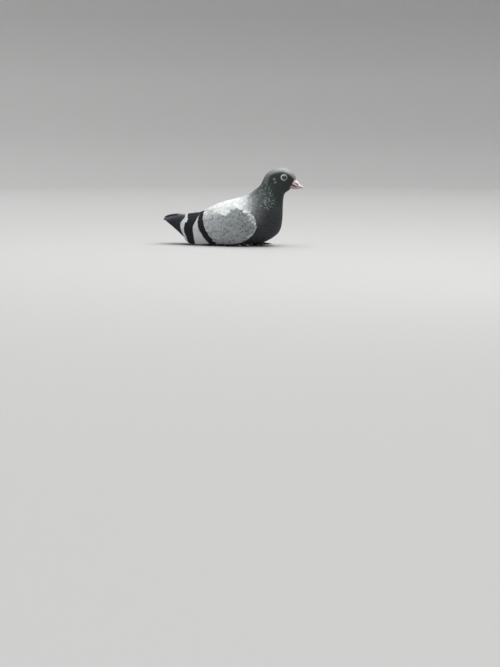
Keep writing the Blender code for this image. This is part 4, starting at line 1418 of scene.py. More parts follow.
def seen_strip(row, share):
    """Where on the wing's width a feather is left uncovered by the next."""
    tip = float(smooth(row["tips"], share))
    low, high = smooth(row["spread"], tip)
    centre = low + share * (high - low)
    strip = centre - row["half_width"] / wing_width(tip) + 0.5 * (high - low) / row["count"]
    return float(np.clip(strip, 0, 1))


def held_back(at):
    """A place on the wing's width, held softly inside its upper edge."""
    return np.where(at > EDGE_FROM, EDGE_FROM + EDGE_SOFT * np.tanh((at - EDGE_FROM) / EDGE_SOFT), at)


def wing_lay(row):
    """How one row of the right wing lies, like roof tiles."""

    def lay(index, along, across):
        share = index / (row["count"] - 1)
        seen = seen_strip(row, share) if row["bar"] else share
        root, tip = float(smooth(row["roots"], share)), float(smooth(row["tips"], seen))
        tip += draws.uniform(-TIP_SCATTER, TIP_SCATTER)
        x = root + (tip - root) * along - rounded_tip(along, across)
        low, high = np.moveaxis(smooth(row["spread"], x), -1, 0)
        width = smooth(LONG_VANE, along) * row["half_width"]
        at = held_back(low + share * (high - low) + across * width / wing_width(x))
        slant = smooth(row["slant"], x)
        tile = np.maximum(slant, 0.0) * (at - low) / np.maximum(high - low, 0.01)
        lift = smooth(row["lift"], x)
        if row["tip_lift"]:
            lift = lift + smooth(row["tip_lift"], x - tip)
        lift = lift + row["step"] * (row["count"] - 1) * (share - tile - (1 - slant))
        points, outward = wing_points(x, at, lift - ROOT_SINK * ease(0.2, 0.0, along))
        bar = NO_BAR
        if row["bar"]:
            bar = [(float(smooth(line, seen)) - root) / (tip - root) for line in row["bar"]]
        return points, outward, bar

    return lay


# %% [markdown]
# A flight feather is pale with one black bar, or dark all over, which is a bar over its whole
# length. A little noise breaks the bar's edges, as the barbs do on a real one.

# %% Flight feather finish
PALE_VANE = (0.66, 0.69, 0.70, 1.0)
BAR_BLACK = (0.0065, 0.0072, 0.0085, 1.0)
TIP_DARK = (0.011, 0.0125, 0.019, 1.0)
GREYER_VANE, GREYER_SHARE = (0.40, 0.43, 0.45, 1.0), 0.16
SHAFT_COLOUR, SHAFT_SHARE = (0.16, 0.17, 0.18, 1.0), 0.35
FLIGHT_RIM = (0.45, 0.48, 0.52, 1.0)
FLIGHT_BARBS = 55.0
BAR_EDGE = 0.012
BAR_RAGGED, BAR_NOISE_SCALE = 0.05, 420.0


def bar_mask(tree, along):
    """1 between the two places where a feather's bar starts and ends."""
    ragged = noise(tree, object_place(tree), BAR_NOISE_SCALE)
    ragged = times(tree, maths(tree, "SUBTRACT", ragged, 0.5), BAR_RAGGED)
    here = maths(tree, "ADD", along, ragged)
    past_front = maths(tree, "SUBTRACT", here, attribute(tree, "bar_from"))
    past_rear = maths(tree, "SUBTRACT", here, attribute(tree, "bar_to"))
    started = between(tree, past_front, -BAR_EDGE, BAR_EDGE)
    return times(tree, started, between(tree, past_rear, BAR_EDGE, -BAR_EDGE))


def flight_finish(name, pale, dark, margin_lift):
    """A long feather: pale, with a dark bar between two places along it."""
    made, tree, shader = new_finish(name, Roughness=0.62, Specular_IOR_Level=0.22)
    along, tone_value = attribute(tree, "along"), attribute(tree, "tone")
    vane = vane_of(tree, FLIGHT_BARBS, tone_value)
    greyer = times(tree, between(tree, tone_value, 0.0, 1.0), GREYER_SHARE)
    base = blend(tree, greyer, pale, GREYER_VANE)
    base = blend(tree, times(tree, vane["Shaft"], SHAFT_SHARE), base, SHAFT_COLOUR)
    colour = blend(tree, bar_mask(tree, along), base, dark)
    rim = maths(tree, "POWER", vane["Margin"], 3.0)
    colour = blend(tree, times(tree, rim, margin_lift), colour, FLIGHT_RIM)
    tree.links.new(colour, shader.inputs["Base Color"])
    bump(tree, shader, vane["Barb Height"], 0.00010, 0.4)
    return made


bar_finish = flight_finish("barred flight feathers", PALE_VANE, BAR_BLACK, 0.04)
dark_finish = flight_finish("dark flight feathers", PALE_VANE, TIP_DARK, 0.22)
print("flight finishes:", [bar_finish.name, dark_finish.name])

# %% [markdown]
# Both wings follow the same rules, each with its own random tips. The left one is then turned over.

# %% Long feathers of both wings
WING_FINISHES = {"primaries": dark_finish, "secondaries": bar_finish, "greater_coverts": bar_finish}
for row_name, row in WING_ROWS.items():
    for word in SIDES:
        piece = long_feathers(f"{row_name}_{word}", wing_lay(row), row["count"], WING_FINISHES[row_name])
        if word == "left":
            turned_to_left(piece)
        settle(piece, "wing_plumage")

# %% [markdown]
# ## Small coverts
#
# The front of the wing is covered by small feathers, tiny at the leading edge. They go from grey at
# the front to pale at the bar, and a few are darker. The white at the upper rear and along the front
# rim is painted light, where the light from above catches the wing.

# %% Wing colours
# Colours by place: 0 at the first bar and 1 at the wing's front, whose pale rim is painted light.
SHIELD_COLOURS_AND_RIM_LIGHT = {
    0.0: (0.42, 0.44, 0.46), 0.30: (0.42, 0.44, 0.455), 0.60: (0.34, 0.365, 0.375),
    0.84: (0.25, 0.285, 0.285), 0.935: (0.27, 0.305, 0.305), 0.965: (0.66, 0.69, 0.69),
    1.0: (0.80, 0.83, 0.83),
}
SHIELD_SLANT = 0.20
SHIELD_WHITE = (0.76, 0.79, 0.79, 1.0)
SHIELD_DARK, SHIELD_DARK_SHARE = (0.13, 0.14, 0.15, 1.0), 0.50

tree, given, gives = group(
    "wing colours", {"Place": "value", "Round": "value", "Tone": "value"}, {"Color": "colour"},
)
off_middle = maths(tree, "SUBTRACT", given["Round"], 0.5)
slanted = maths(tree, "MULTIPLY_ADD", off_middle, SHIELD_SLANT, given["Place"])
shield = colour_line(tree, slanted, SHIELD_COLOURS_AND_RIM_LIGHT)
# The upper rear is painted whiter: painted light from above.
upper, rear = between(tree, given["Round"], 0.64, 0.86), between(tree, given["Place"], 0.72, 0.45)
shield = blend(tree, times(tree, upper, rear), shield, SHIELD_WHITE)
lowest, front = between(tree, given["Round"], 0.15, 0.05), between(tree, given["Place"], 0.80, 0.92)
lower_front = times(tree, times(tree, lowest, front), 0.5)
shield = blend(tree, lower_front, shield, SHIELD_WHITE)
dark_ones = times(tree, between(tree, given["Tone"], 0.34, 0.04), SHIELD_DARK_SHARE)
shield = blend(tree, dark_ones, shield, SHIELD_DARK)
tone = between(tree, given["Tone"], 0.0, 1.0, 0.86, 1.28)
tree.links.new(vector_maths(tree, "SCALE", shield, tone), gives["Color"])
wing_group = tree
covert_finish = feather_finish(
    "wing coverts", wing_group, 6.0, 0.26, 0.20, Roughness=0.65, Sheen_Weight=0.05,
)
print("the wing colour group has", len(wing_group.nodes), "nodes")

# %% [markdown]
# The small coverts grow on a bed: a thin, closed, curved pad that slopes down to the first bar, so
# that the greater coverts come out from under it.

# %% Bed of the small coverts
# How high the bed lies over the wing's surface, by X, in mm.
BED_LIFT = {-56: 3.6, -40: 4, -10: 4.5, 20: 4.5, 40: 4.1, 52: 3, 58: 1.6, 62.5: -0.6}
BED_REAR_X = -64.0
BED_SLOPE = 7.0
BED_LEAST = 0.05
BED_UNDERSIDE = -1.5
BED_ROWS, BED_COLUMNS = 72, 44


def wing_bed():
    """The right wing's bed: X, place across, outer and inner grid, outward directions and lie."""
    x = np.linspace(BED_REAR_X, WING_FRONT_X, BED_ROWS)[:, None]
    across = (0.5 - 0.5 * np.cos(np.linspace(0, math.pi, BED_COLUMNS)))[None, :]
    x, across = np.broadcast_arrays(x, across)
    full = np.maximum(0.25, 1 - np.abs(2 * across - 1) ** 6)
    past_bar = ease(-BED_SLOPE, 0.5, x - smooth(FIRST_BAR_FRONT, across))
    outer, _ = wing_points(x, across, smooth(BED_LIFT, x) * full * (BED_LEAST + (1 - BED_LEAST) * past_bar))
    inner, _ = wing_points(x, across, BED_UNDERSIDE * full)
    normals, lie = grid_normals(outer, False)
    return x, across, outer, inner, normals * -np.sign(normals[..., 1:2]), -lie


# %% [markdown]
# The bed carries the same guides as the skin. With its inside it is a piece of the model, and
# without it, it is only the sheet that the feathers grow on. It wears the wing's colours.

# %% Bed as a mesh
COVERT_LENGTH = 8.5
COVERT_SIZE = {BED_REAR_X: 1, 20: 0.95, 45: 0.78, 56: 0.6, WING_FRONT_X: 0.5}
COVERT_DEPTH = {-64: 1.7, 40: 1.6, 56: 1.1, 62.5: 0.7}
# How much of its own length the last covert keeps from the first bar.
COVERT_START = 0.88


def bed_guides(x, across, outer, normals, lie):
    """What the coverts need to know at each point of the bed."""
    size = smooth(COVERT_SIZE, x)
    starts = smooth(FIRST_BAR_FRONT, across) + COVERT_START * COVERT_LENGTH * size
    return {
        "lie": lie, "outward": normals, "place": (x - BED_REAR_X) / (WING_FRONT_X - BED_REAR_X),
        "round": across, "size": size, "depth": smooth(COVERT_DEPTH, x),
        "grows": ((x > starts) & ~under_cloak(outer)).astype(float),
    }


def sheet_chart(index, rows, columns, left, width, foot, height):
    """Places in the unit square for the points of a sheet, row over row."""
    return np.stack([
        left + width * (index % columns) / (columns - 1), foot + height * (index // columns) / (rows - 1),
    ], -1)


def bed_piece(name, with_inside, finish):
    """The right wing's bed, as a closed pad or as its outer sheet alone."""
    x, across, outer, inner, normals, lie = wing_bed()
    rows, columns = outer.shape[:2]
    count = rows * columns
    grids = flattened(bed_guides(x, across, outer, normals, lie))
    points, faces = outer.reshape(-1, 3), grid_faces(rows, columns)
    if with_inside:
        shared = np.arange(count).reshape(rows, columns)
        ring = np.concatenate([shared[0, :], shared[1:, -1], shared[-1, -2::-1], shared[-2:0:-1, 0]]).tolist()
        points = np.concatenate([points, inner.reshape(-1, 3)])
        faces += [tuple(v + count for v in face[::-1]) for face in faces]
        faces += [(b, a, a + count, b + count) for a, b in zip(ring, ring[1:] + ring[:1])]
        grids = {label: np.concatenate([v, v * (label != "grows")]) for label, v in grids.items()}
    obj = new_piece(name, points, faces, finish, grids)
    index = corner_points(obj.data)
    chart = sheet_chart(index % count, rows, columns, 0.01, 0.46, 0.02, 0.94)
    chart[:, 0] += np.where(index >= count, 0.5, 0.0)
    add_chart(obj.data, chart)
    return obj


BED_TONE = 0.2
COVERT_SPACING, COVERT_WIDTH = 2.35, 5.6
FIRST_COVERT_SEED = 21

bed_finish, tree, shader = new_finish("wing bed", Roughness=0.8)
tree.links.new(marking_of(tree, wing_group, BED_TONE)["Color"], shader.inputs["Base Color"])
for number, word in enumerate(SIDES):
    bed = face_outwards(bed_piece(f"wing_bed_{word}", True, bed_finish))
    wing_guide = bed_piece("wing guide", False, None)
    coverts = grow(
        f"small_coverts_{word}", wing_guide, wing_guide, covert_finish, small_blank,
        **{"Spacing": COVERT_SPACING * MM, "Length": COVERT_LENGTH * MM, "Width": COVERT_WIDTH * MM,
           "Wobble": BODY_WOBBLE, "Seed": FIRST_COVERT_SEED + number},
    )
    bpy.data.objects.remove(wing_guide)
    if word == "left":
        turned_to_left(bed)
        turned_to_left(coverts)
    settle(bed, "wing_plumage", f"wing_{word}")
    settle(coverts, "wing_plumage")

# %% [markdown]
# ## Tail
#
# Twelve tail feathers lie closed like a fan. The middle pair is on top, and each next pair lies
# under it and shows only its outer edge.

# %% Tail feathers
TAIL_TIP_X = -139.0
TAIL_ROOT_X = -86.0
TAIL_HEIGHT = {
    -139: 50.4, -136: 52.4, -132: 54, -124: 56, -112: 57.2, -104: 56.9, -98: 55.6,
    -90: 53.6,
}
TAIL_HALF_WIDTH = {-139: 18, -133: 17.2, -124: 15.6, -112: 14.4, -101: 14.2, -90: 17}
TAIL_FULL_X = -133.0
TAIL_ARCH = 5.5
TAIL_ARCH_WIDTH = 20.0
TAIL_PAIRS = 6
TAIL_MIDDLE_STACK = 3
TAIL_VANE_HALF = 6.5
TAIL_FIRST_Y = 1.2
TAIL_STEP_Y = 1.9
TAIL_STEP = 0.62
TAIL_ROUNDED = 0.35
TAIL_END_BAND = (0.35, 9.0)
TAIL_SLATE = (0.045, 0.050, 0.062, 1.0)


def tail_lay(index, along, across):
    """One tail feather: side and pair set how far out and how deep in the fan it lies."""
    pair, side = divmod(index, 2)
    level = 2 * pair + side if pair < TAIL_MIDDLE_STACK else TAIL_MIDDLE_STACK + pair
    side = 1 if side else -1
    tip = TAIL_TIP_X + LONG_TIP + TAIL_ROUNDED * pair
    x = TAIL_ROOT_X + (tip - TAIL_ROOT_X) * along - rounded_tip(along, across)
    scale = smooth(TAIL_HALF_WIDTH, x) / smooth(TAIL_HALF_WIDTH, TAIL_FULL_X)
    width = smooth(LONG_VANE, along) * TAIL_VANE_HALF
    y = (side * (TAIL_FIRST_Y + TAIL_STEP_Y * pair) + across * width) * scale
    height = smooth(TAIL_HEIGHT, x) - TAIL_ARCH * (y / TAIL_ARCH_WIDTH) ** 2 - TAIL_STEP * level
    outward = unit(np.stack([0 * y, 2 * TAIL_ARCH * y / TAIL_ARCH_WIDTH**2, 1 + 0 * y], -1))
    return np.stack([x, y, height], -1), outward, TAIL_END_BAND


tail_finish = flight_finish("tail feathers", TAIL_SLATE, TIP_DARK, 0.25)
tail = long_feathers("tail_feathers", tail_lay, 2 * TAIL_PAIRS, tail_finish)
settle(tail, "tail_plumage", "tail")

# %% [markdown]
# ## Scapulars
#
# The shoulder feathers hang over the wing's upper edge like a short cloak. Their guide is a surface
# of its own: rays sent in towards the bird's long axis find the outermost of body and wing, and
# their reach is smoothed, so that the cloak bridges the crease.

# %% Rays on body and wing
CLOAK_X = np.arange(-112.0, 70.0, 2.0)
CLOAK_TURNS = np.radians(np.arange(-4.0, 104.0, 2.0))
CLOAK_REACH = 120.0
CLOAK_OVER_WING = 1.6
CLOAK_SMOOTHING, CLOAK_SMOOTH_SHARE = 5, 0.6


def cloak_trees():
    """Body and wing as two surfaces that rays can meet."""
    body = body_points(ring_places, ring_turns, np.zeros((len(ring_places), 1)))
    _, _, bed, _, outward, _ = wing_bed()
    trees = []
    for points, closed in ((body, True), (bed + outward * CLOAK_OVER_WING, False)):
        faces = grid_faces(*points.shape[:2], closed=closed)
        trees.append(BVHTree.FromPolygons(points.reshape(-1, 3).tolist(), faces))
    return trees


def cloak_radii():
    """How far body and wing reach from the axis, by X and by turn, smoothed."""
    trees = cloak_trees()
    radii = np.zeros((len(CLOAK_X), len(CLOAK_TURNS)))
    for i, at_x in enumerate(CLOAK_X):
        for k, turn in enumerate(CLOAK_TURNS):
            outward = Vector((0.0, -math.sin(turn), math.cos(turn)))
            source = Vector((at_x, 0.0, CLOAK_AXIS_Z)) + outward * CLOAK_REACH
            for tree in trees:
                place, _, _, distance = tree.ray_cast(source, -outward)
                if place is not None:
                    radii[i, k] = max(radii[i, k], CLOAK_REACH - distance)
    for _ in range(CLOAK_SMOOTHING):
        padded = np.pad(radii, 1, mode="edge")
        spread = (padded[:-2, 1:-1] + padded[2:, 1:-1] + padded[1:-1, :-2] + padded[1:-1, 2:]) / 4
        radii = (1 - CLOAK_SMOOTH_SHARE) * radii + CLOAK_SMOOTH_SHARE * spread
    return radii


radii = cloak_radii()
print("the cloak lies", round(float(radii.max()), 1), "mm from the axis at most")

# %% [markdown]
# The cloak is white at the shoulder, partly painted top light read from the back's line of colours,
# and greyer at its edges. Its feathers read the body's own lines of colour, at a place and a turn that
# are chosen here.

# %% Cloak guide
CLOAK_DEPTH = 1.7
CLOAK_SUNK = 0.6
CLOAK_FROM_X, CLOAK_TO_X = -44.0, 56.0
# The section whose colour the cloak takes, by X.
CLOAK_COLOURS = {24: "mantle", 33: "shoulder", 41: "crop", 48: "breast", 56: "collar"}
# How much further forward the white reaches at the cloak's lower edge than on the back, in mm.
WHITE_FORWARD = 25.0
CLOAK_SIZE = {-44: 0.85, 0: 1, 30: 0.9, 56: 0.6}
REAR_GREY, FRONT_GREY = 0.34, 0.4
CLOAK_SLIDE = 0.25


def cloak_colour_place(x, share):
    """Where on the body's colour lines a cloak feather reads its colour."""
    shift = WHITE_FORWARD * share**2 * ease(58.0, 48.0, x)
    sections = [PLACE[section] for section in CLOAK_COLOURS.values()]
    rear, front = ease(14.0, -16.0, x), ease(47.0, 57.0, x)
    grey = REAR_GREY * share**3 * rear + FRONT_GREY * share.clip(0, 0.9) * front
    return np.interp(x - shift, list(CLOAK_COLOURS), sections), grey


def cloak_piece(name):
    """The right half of the cloak as a guide for feathers."""
    x, turn = np.meshgrid(CLOAK_X, CLOAK_TURNS, indexing="ij")
    reach = radii - CLOAK_DEPTH * CLOAK_SUNK
    points = np.stack([x, -np.sin(turn) * reach, CLOAK_AXIS_Z + np.cos(turn) * reach], -1)
    normals, lie = grid_normals(points, False)
    upward = np.stack([0 * x, -np.sin(turn), np.cos(turn)], -1)
    downward = np.stack([0 * x, -np.cos(turn), -np.sin(turn)], -1)
    edge = smooth(CLOAK_EDGE, x)
    share = (np.degrees(turn) / edge).clip(0, 1.1)
    place, grey = cloak_colour_place(x, share)
    grows = (x > CLOAK_FROM_X) & (x < CLOAK_TO_X) & (turn < np.radians(edge)) & (turn >= -0.03)
    grids = flattened({
        "lie": unit(-lie + CLOAK_SLIDE * downward * ease(-40, 10, x)[..., None]),
        "outward": normals * np.sign((normals * upward).sum(-1))[..., None],
        "place": place, "round": grey, "size": smooth(CLOAK_SIZE, x), "depth": 0 * x + CLOAK_DEPTH,
        "grows": grows.astype(float),
    })
    obj = new_piece(name, points.reshape(-1, 3), grid_faces(*x.shape), None, grids)
    add_chart(obj.data, sheet_chart(corner_points(obj.data), *x.shape, 0.02, 0.94, 0.02, 0.94))
    return obj


SCAPULAR_SPACING, SCAPULAR_LENGTH, SCAPULAR_WIDTH = 3.6, 16.0, 10.0
SCAPULAR_WOBBLE = 0.10
FIRST_SCAPULAR_SEED = 31

for number, word in enumerate(SIDES):
    cloak = cloak_piece("cloak guide")
    scapulars = grow(
        f"scapulars_{word}", cloak, cloak, mantle_finish, large_blank,
        **{"Spacing": SCAPULAR_SPACING * MM, "Length": SCAPULAR_LENGTH * MM, "Width": SCAPULAR_WIDTH * MM,
           "Wobble": SCAPULAR_WOBBLE, "Seed": FIRST_SCAPULAR_SEED + number},
    )
    bpy.data.objects.remove(cloak)
    if word == "left":
        turned_to_left(scapulars)
    settle(scapulars, "body_plumage")

# %% [markdown]
# ## Bill
#
# Two horny sheaths meet along a curved cutting edge, and the upper one droops over the lower. Both
# are lofts of half-round sections between that edge and a ridge or keel.

# %% Form of the bill
CUTTING_EDGE = {
    113: 118.2, 117: 117.7, 121: 116.1, 124.5: 113.9, 127.5: 112.4, 131: 111.3, 136: 110,
    139.8: 108.5,
}
# Ridge or keel X, Z, then the X of the cutting edge, and the half-width, in mm.
UPPER_BILL = (
    (119.5, 124.6, 114.6, 5.3), (121.8, 123, 117, 5.2), (125.9, 119.1, 121.6, 4.6),
    (130.9, 116.5, 126.8, 3.7), (135.5, 113.8, 132, 2.6), (138.7, 111.4, 136.4, 1.6),
    (140.3, 109.1, 139.4, 0.5),
)
LOWER_BILL = (
    (111, 108.8, 114.4, 4.9), (113.6, 107.9, 117, 4.7), (121.6, 107, 123.6, 3.9),
    (129.6, 107.3, 130.6, 2.7), (136.6, 108.8, 137, 0.6),
)
MOUTH_GAP = 0.7
BILL_RINGS, BILL_SEGMENTS = 40, 26
BILL_ROUNDNESS = 0.8


def closed_piece(name, points, finish, ends=False):
    """Rings of points as a closed piece: a ball, or a tube with a face over each end."""
    rows, columns = points.shape[:2]
    faces = tube_faces(rows, columns) if ends else grid_faces(rows, columns, closed=True)
    return face_outwards(new_piece(name, points.reshape(-1, 3), faces, finish))


def bill_sheath(name, sections, drop, finish):
    """One sheath of the bill, with its edge a drop under the cutting edge."""
    row = smooth(dict(enumerate(sections)), np.linspace(0, len(sections) - 1, BILL_RINGS))
    ridge_x, ridge_z, edge_x, half_width = row.T
    edge = np.stack([edge_x, 0 * edge_x, smooth(CUTTING_EDGE, edge_x) - drop], -1)
    rise = np.stack([ridge_x, 0 * ridge_x, ridge_z], -1) - edge
    turn = np.linspace(0, math.pi, BILL_SEGMENTS)
    across = np.cos(turn)[None, :, None] * half_width[:, None, None] * np.array([0, 1.0, 0])
    points = edge[:, None, :] + across + rise[:, None, :] * (np.sin(turn) ** BILL_ROUNDNESS)[None, :, None]
    return closed_piece(name, points, finish, ends=True)


# %% [markdown]
# A nostril is a slit under each flap at the bill's root: a dent in the flap, and painted shade on flap
# and horn where the opening would be dark. Left is folded over right, so that one tilted, stretched
# ball marks both sides.

# %% Nostril group
NOSTRIL_CENTRE = np.array([127.7, 4.2, 116.4])
NOSTRIL_RADII = np.array([3.9, 1.8, 0.95])
NOSTRIL_SLOPE = math.radians(30.0)
# The slit's dark opening is painted shade.
NOSTRIL_PAINTED_SHADE = (0.030, 0.012, 0.011, 1.0)
# How much further sideways the painted shade reaches than the dent, in mm.
NOSTRIL_SIDEWAYS = 1.2

tree, given, gives = group("nostril", {"Vector": "vector"}, {"Dark": "value"})
folded = vector_maths(tree, "ABSOLUTE", given["Vector"])
slit = add(tree, "ShaderNodeMapping", {
    "Vector": folded, "Location": tuple(NOSTRIL_CENTRE * MM), "Rotation": (0.0, NOSTRIL_SLOPE, 0.0),
    "Scale": tuple((NOSTRIL_RADII + (0.0, NOSTRIL_SIDEWAYS, 0.0)) * MM),
}, vector_type="TEXTURE").outputs[0]
slit_distance = vector_maths(tree, "LENGTH", slit)
tree.links.new(between(tree, slit_distance, 1.12, 0.80), gives["Dark"])
nostril_group = tree
print("the nostril group has", len(tree.nodes), "nodes")

# %% [markdown]
# The horn is banded along the cutting edge, dark red just under it and pale over it. The palest band
# along the ridge is partly painted highlight, and the darker bottom of the lower sheath partly painted
# shade. Towards the tip the bands fade, and old stains lie over all.

# %% Bill horn
# The cutting edge as a straight line: a point on it, in metres, and how it falls forwards.
EDGE_X, EDGE_Z = 0.113, 0.1182
EDGE_SLOPE = -0.36
HORN_REACH = 0.008
# Colours by height: 0 is that far under the cutting edge, in metres, and 1 as far over it.
HORN_COLOURS_WITH_HIGHLIGHT_AND_SHADE = {
    # Palest at the top, partly painted highlight along the ridge. Darker at 0, partly painted shade.
    0.0: (0.40, 0.31, 0.30), 0.20: (0.50, 0.37, 0.355), 0.32: (0.20, 0.08, 0.075),
    0.40: (0.085, 0.022, 0.020), 0.475: (0.075, 0.020, 0.018), 0.52: (0.78, 0.69, 0.67),
    0.61: (0.84, 0.77, 0.75), 0.68: (0.56, 0.43, 0.41), 0.80: (0.86, 0.77, 0.75),
}
FRONT_HORN_COLOURS = {0.15: (0.44, 0.33, 0.31), 0.5: (0.62, 0.50, 0.48), 0.7: (0.84, 0.75, 0.73)}
FRONT_HORN_X = (0.123, 0.130)
STAIN_COLOUR, STAIN_SHARE = (0.34, 0.24, 0.22, 1.0), 0.35

horn_finish, tree, shader = new_finish(
    "bill horn", Roughness=0.38, Coat_Weight=0.15, Subsurface_Weight=0.15,
    Subsurface_Radius=(0.002, 0.001, 0.0007),
)
place_of = object_place(tree)
spot = add(tree, "ShaderNodeSeparateXYZ", {"Vector": place_of}).outputs
fall = times(tree, maths(tree, "SUBTRACT", spot["X"], EDGE_X), EDGE_SLOPE)
over_edge = maths(tree, "SUBTRACT", maths(tree, "SUBTRACT", spot["Z"], EDGE_Z), fall)
reach = {"Value": over_edge, "From Min": -HORN_REACH, "From Max": HORN_REACH}
level = add(tree, "ShaderNodeMapRange", reach).outputs["Result"]
horn, front_horn = colour_line(tree, level, HORN_COLOURS_WITH_HIGHLIGHT_AND_SHADE), colour_line(tree, level, FRONT_HORN_COLOURS)
horn = blend(tree, between(tree, spot["X"], *FRONT_HORN_X), horn, front_horn)
stain = noise(tree, place_of, 300.0, 4.0)
horn = blend(tree, times(tree, between(tree, stain, 0.45, 0.75), STAIN_SHARE), horn, STAIN_COLOUR)
horn = blend(tree, use_group(tree, nostril_group, {"Vector": place_of})["Dark"], horn, NOSTRIL_PAINTED_SHADE)
tree.links.new(horn, shader.inputs["Base Color"])
bump(tree, shader, stain, 0.0002, 0.3)

settle(bill_sheath("upper_bill", UPPER_BILL, 0.0, horn_finish), "bill_horn", "bill_upper")
settle(bill_sheath("lower_bill", LOWER_BILL, MOUTH_GAP, horn_finish), "bill_horn", "bill_lower")

# %% [markdown]
# At the root of the upper sheath sit two swollen white flaps, powdery and wrinkled. A flap is a
# ball that is stretched, tilted, and dented by its nostril.

# %% Cere
CERE_CENTRE = np.array([125.4, 2.1, 119.2])
CERE_RADII = np.array([6.0, 3.0, 3.0])
CERE_SLOPE = math.radians(38.0)
CERE_GRID = 48
CERE_SWELL = 0.12
# How deep the nostril is pressed in, how much that raises the flap, in mm, and how fast it ends.
NOSTRIL_DENT, NOSTRIL_RAISE, NOSTRIL_FALL_OFF = 1.3, 0.25, 0.9
CERE_WHITE, CERE_PINK = (0.88, 0.84, 0.82, 1.0), (0.76, 0.66, 0.64, 1.0)


def ball_points(rows, columns):
    """A unit ball as a closed grid with its poles on X."""
    polar = np.linspace(0, math.pi, rows)[:, None]
    turn = (2 * math.pi * np.arange(columns) / columns)[None, :]
    around = np.sin(polar)
    return np.stack([-np.cos(polar) + 0 * turn, around * np.cos(turn), around * np.sin(turn)], -1)


def sloped(points, angle):
    """Turned about Y, with the front going down."""
    c, s = math.cos(angle), math.sin(angle)
    return points @ np.array([[c, 0, -s], [0, 1, 0], [s, 0, c]])


def cere_lobe(side, finish):
    """One flap of the cere."""
    ball = ball_points(CERE_GRID, CERE_GRID)
    swell = 1 + CERE_SWELL * ball[..., 0:1] * (ball[..., 2:3] < 0.4)
    points = sloped(ball * CERE_RADII * swell, CERE_SLOPE) + CERE_CENTRE * (1, side, 1)
    away = sloped(points - NOSTRIL_CENTRE * (1, side, 1), -NOSTRIL_SLOPE) / NOSTRIL_RADII
    dent = np.exp(-((away**2).sum(-1)) * NOSTRIL_FALL_OFF)
    points[..., 1] -= side * NOSTRIL_DENT * dent
    points[..., 2] += NOSTRIL_RAISE * dent
    return closed_piece("cere lobe", points, finish)


def bare_skin(tree, place, scale, first, second):
    """Two shades in soft blotches, and the outputs of the grain group."""
    grain = use_group(tree, grain_group, {"Vector": place, "Scale": scale})
    return blend(tree, between(tree, grain["Patches"], 0.35, 0.7), first, second), grain


cere_finish, tree, shader = new_finish(
    "powdery cere", Roughness=0.85, Subsurface_Weight=0.2, Subsurface_Radius=(0.0015, 0.0012, 0.001),
)
place_of = object_place(tree)
powder, grain = bare_skin(tree, place_of, 1500.0, CERE_WHITE, CERE_PINK)
powder = blend(tree, use_group(tree, nostril_group, {"Vector": place_of})["Dark"], powder, NOSTRIL_PAINTED_SHADE)
tree.links.new(powder, shader.inputs["Base Color"])
bump(tree, shader, grain["Height"], 0.00015, 0.5)

cere = joined("cere_flaps", [cere_lobe(side, cere_finish) for side in SIDES.values()])
settle(cere, "cere_skin", "cere")

# %% [markdown]
# The mouth's lining shows as a dark red line. It is a flat tube along the cutting edge.

# %% Mouth lining
# Half-width of the lower sheath, by X, and how far inside it the lining stays, in mm.
LINING_HALF_WIDTH = {113.5: 4.9, 122: 4.3, 130: 3, 136: 1.1}
LINING_INSET = 0.35
LINING_HALF_HEIGHT = 0.5
LINING_RINGS, LINING_SEGMENTS = 24, 12
LINING_DARK, LINING_RED = (0.10, 0.012, 0.010, 1.0), (0.22, 0.03, 0.025, 1.0)

lining_finish, tree, shader = new_finish("mouth lining", Roughness=0.3)
damp = noise(tree, object_place(tree), 500.0)
tree.links.new(blend(tree, damp, LINING_DARK, LINING_RED), shader.inputs["Base Color"])
lining_x = np.linspace(min(LINING_HALF_WIDTH), max(LINING_HALF_WIDTH), LINING_RINGS)[:, None]
lining_turn = np.linspace(0, 2 * math.pi, LINING_SEGMENTS, endpoint=False)[None, :]
lining = np.stack(np.broadcast_arrays(
    lining_x, np.cos(lining_turn) * (smooth(LINING_HALF_WIDTH, lining_x) - LINING_INSET),
    smooth(CUTTING_EDGE, lining_x) - MOUTH_GAP / 2 + np.sin(lining_turn) * LINING_HALF_HEIGHT,
), -1)
settle(closed_piece("mouth_lining", lining, lining_finish, ends=True), "bill_horn")

# %% [markdown]
# ## Eyes
#
# Each eye is a clear, wet ball with a red-brown iris and a black pupil. The iris is painted nearly
# black, as painted shade from the brow over it. Round it lies a ring of bare pale skin with the two lids
# inside.

# %% Directions round an eye


def ring_frame(side):
    """Three directions for what sits round an eye: across, up, and out of the head."""
    out = eye_direction(side)
    across = unit(np.cross(np.array([0, 0, 1.0]), out))
    return across, np.cross(out, across), out


# %% [markdown]
# The eye's colours are rings round the way it looks. A point's distance from that line is what is
# left when its part along the line is taken away.

# %% Eye finish
# The iris is painted very dark: painted shade from the brow.
IRIS_SHADED_DARK, IRIS_SHADED_BROWN = (0.013, 0.0045, 0.003, 1.0), (0.036, 0.011, 0.006, 1.0)
PUPIL_BLACK = (0.003, 0.003, 0.003, 1.0)
EYE_RIM = (0.02, 0.012, 0.010, 1.0)
# Where the pupil gives way to the iris and the iris to the rim, in metres from the eye's axis.
PUPIL_EDGE, IRIS_EDGE = (0.00275, 0.0025), (0.00355, 0.0039)


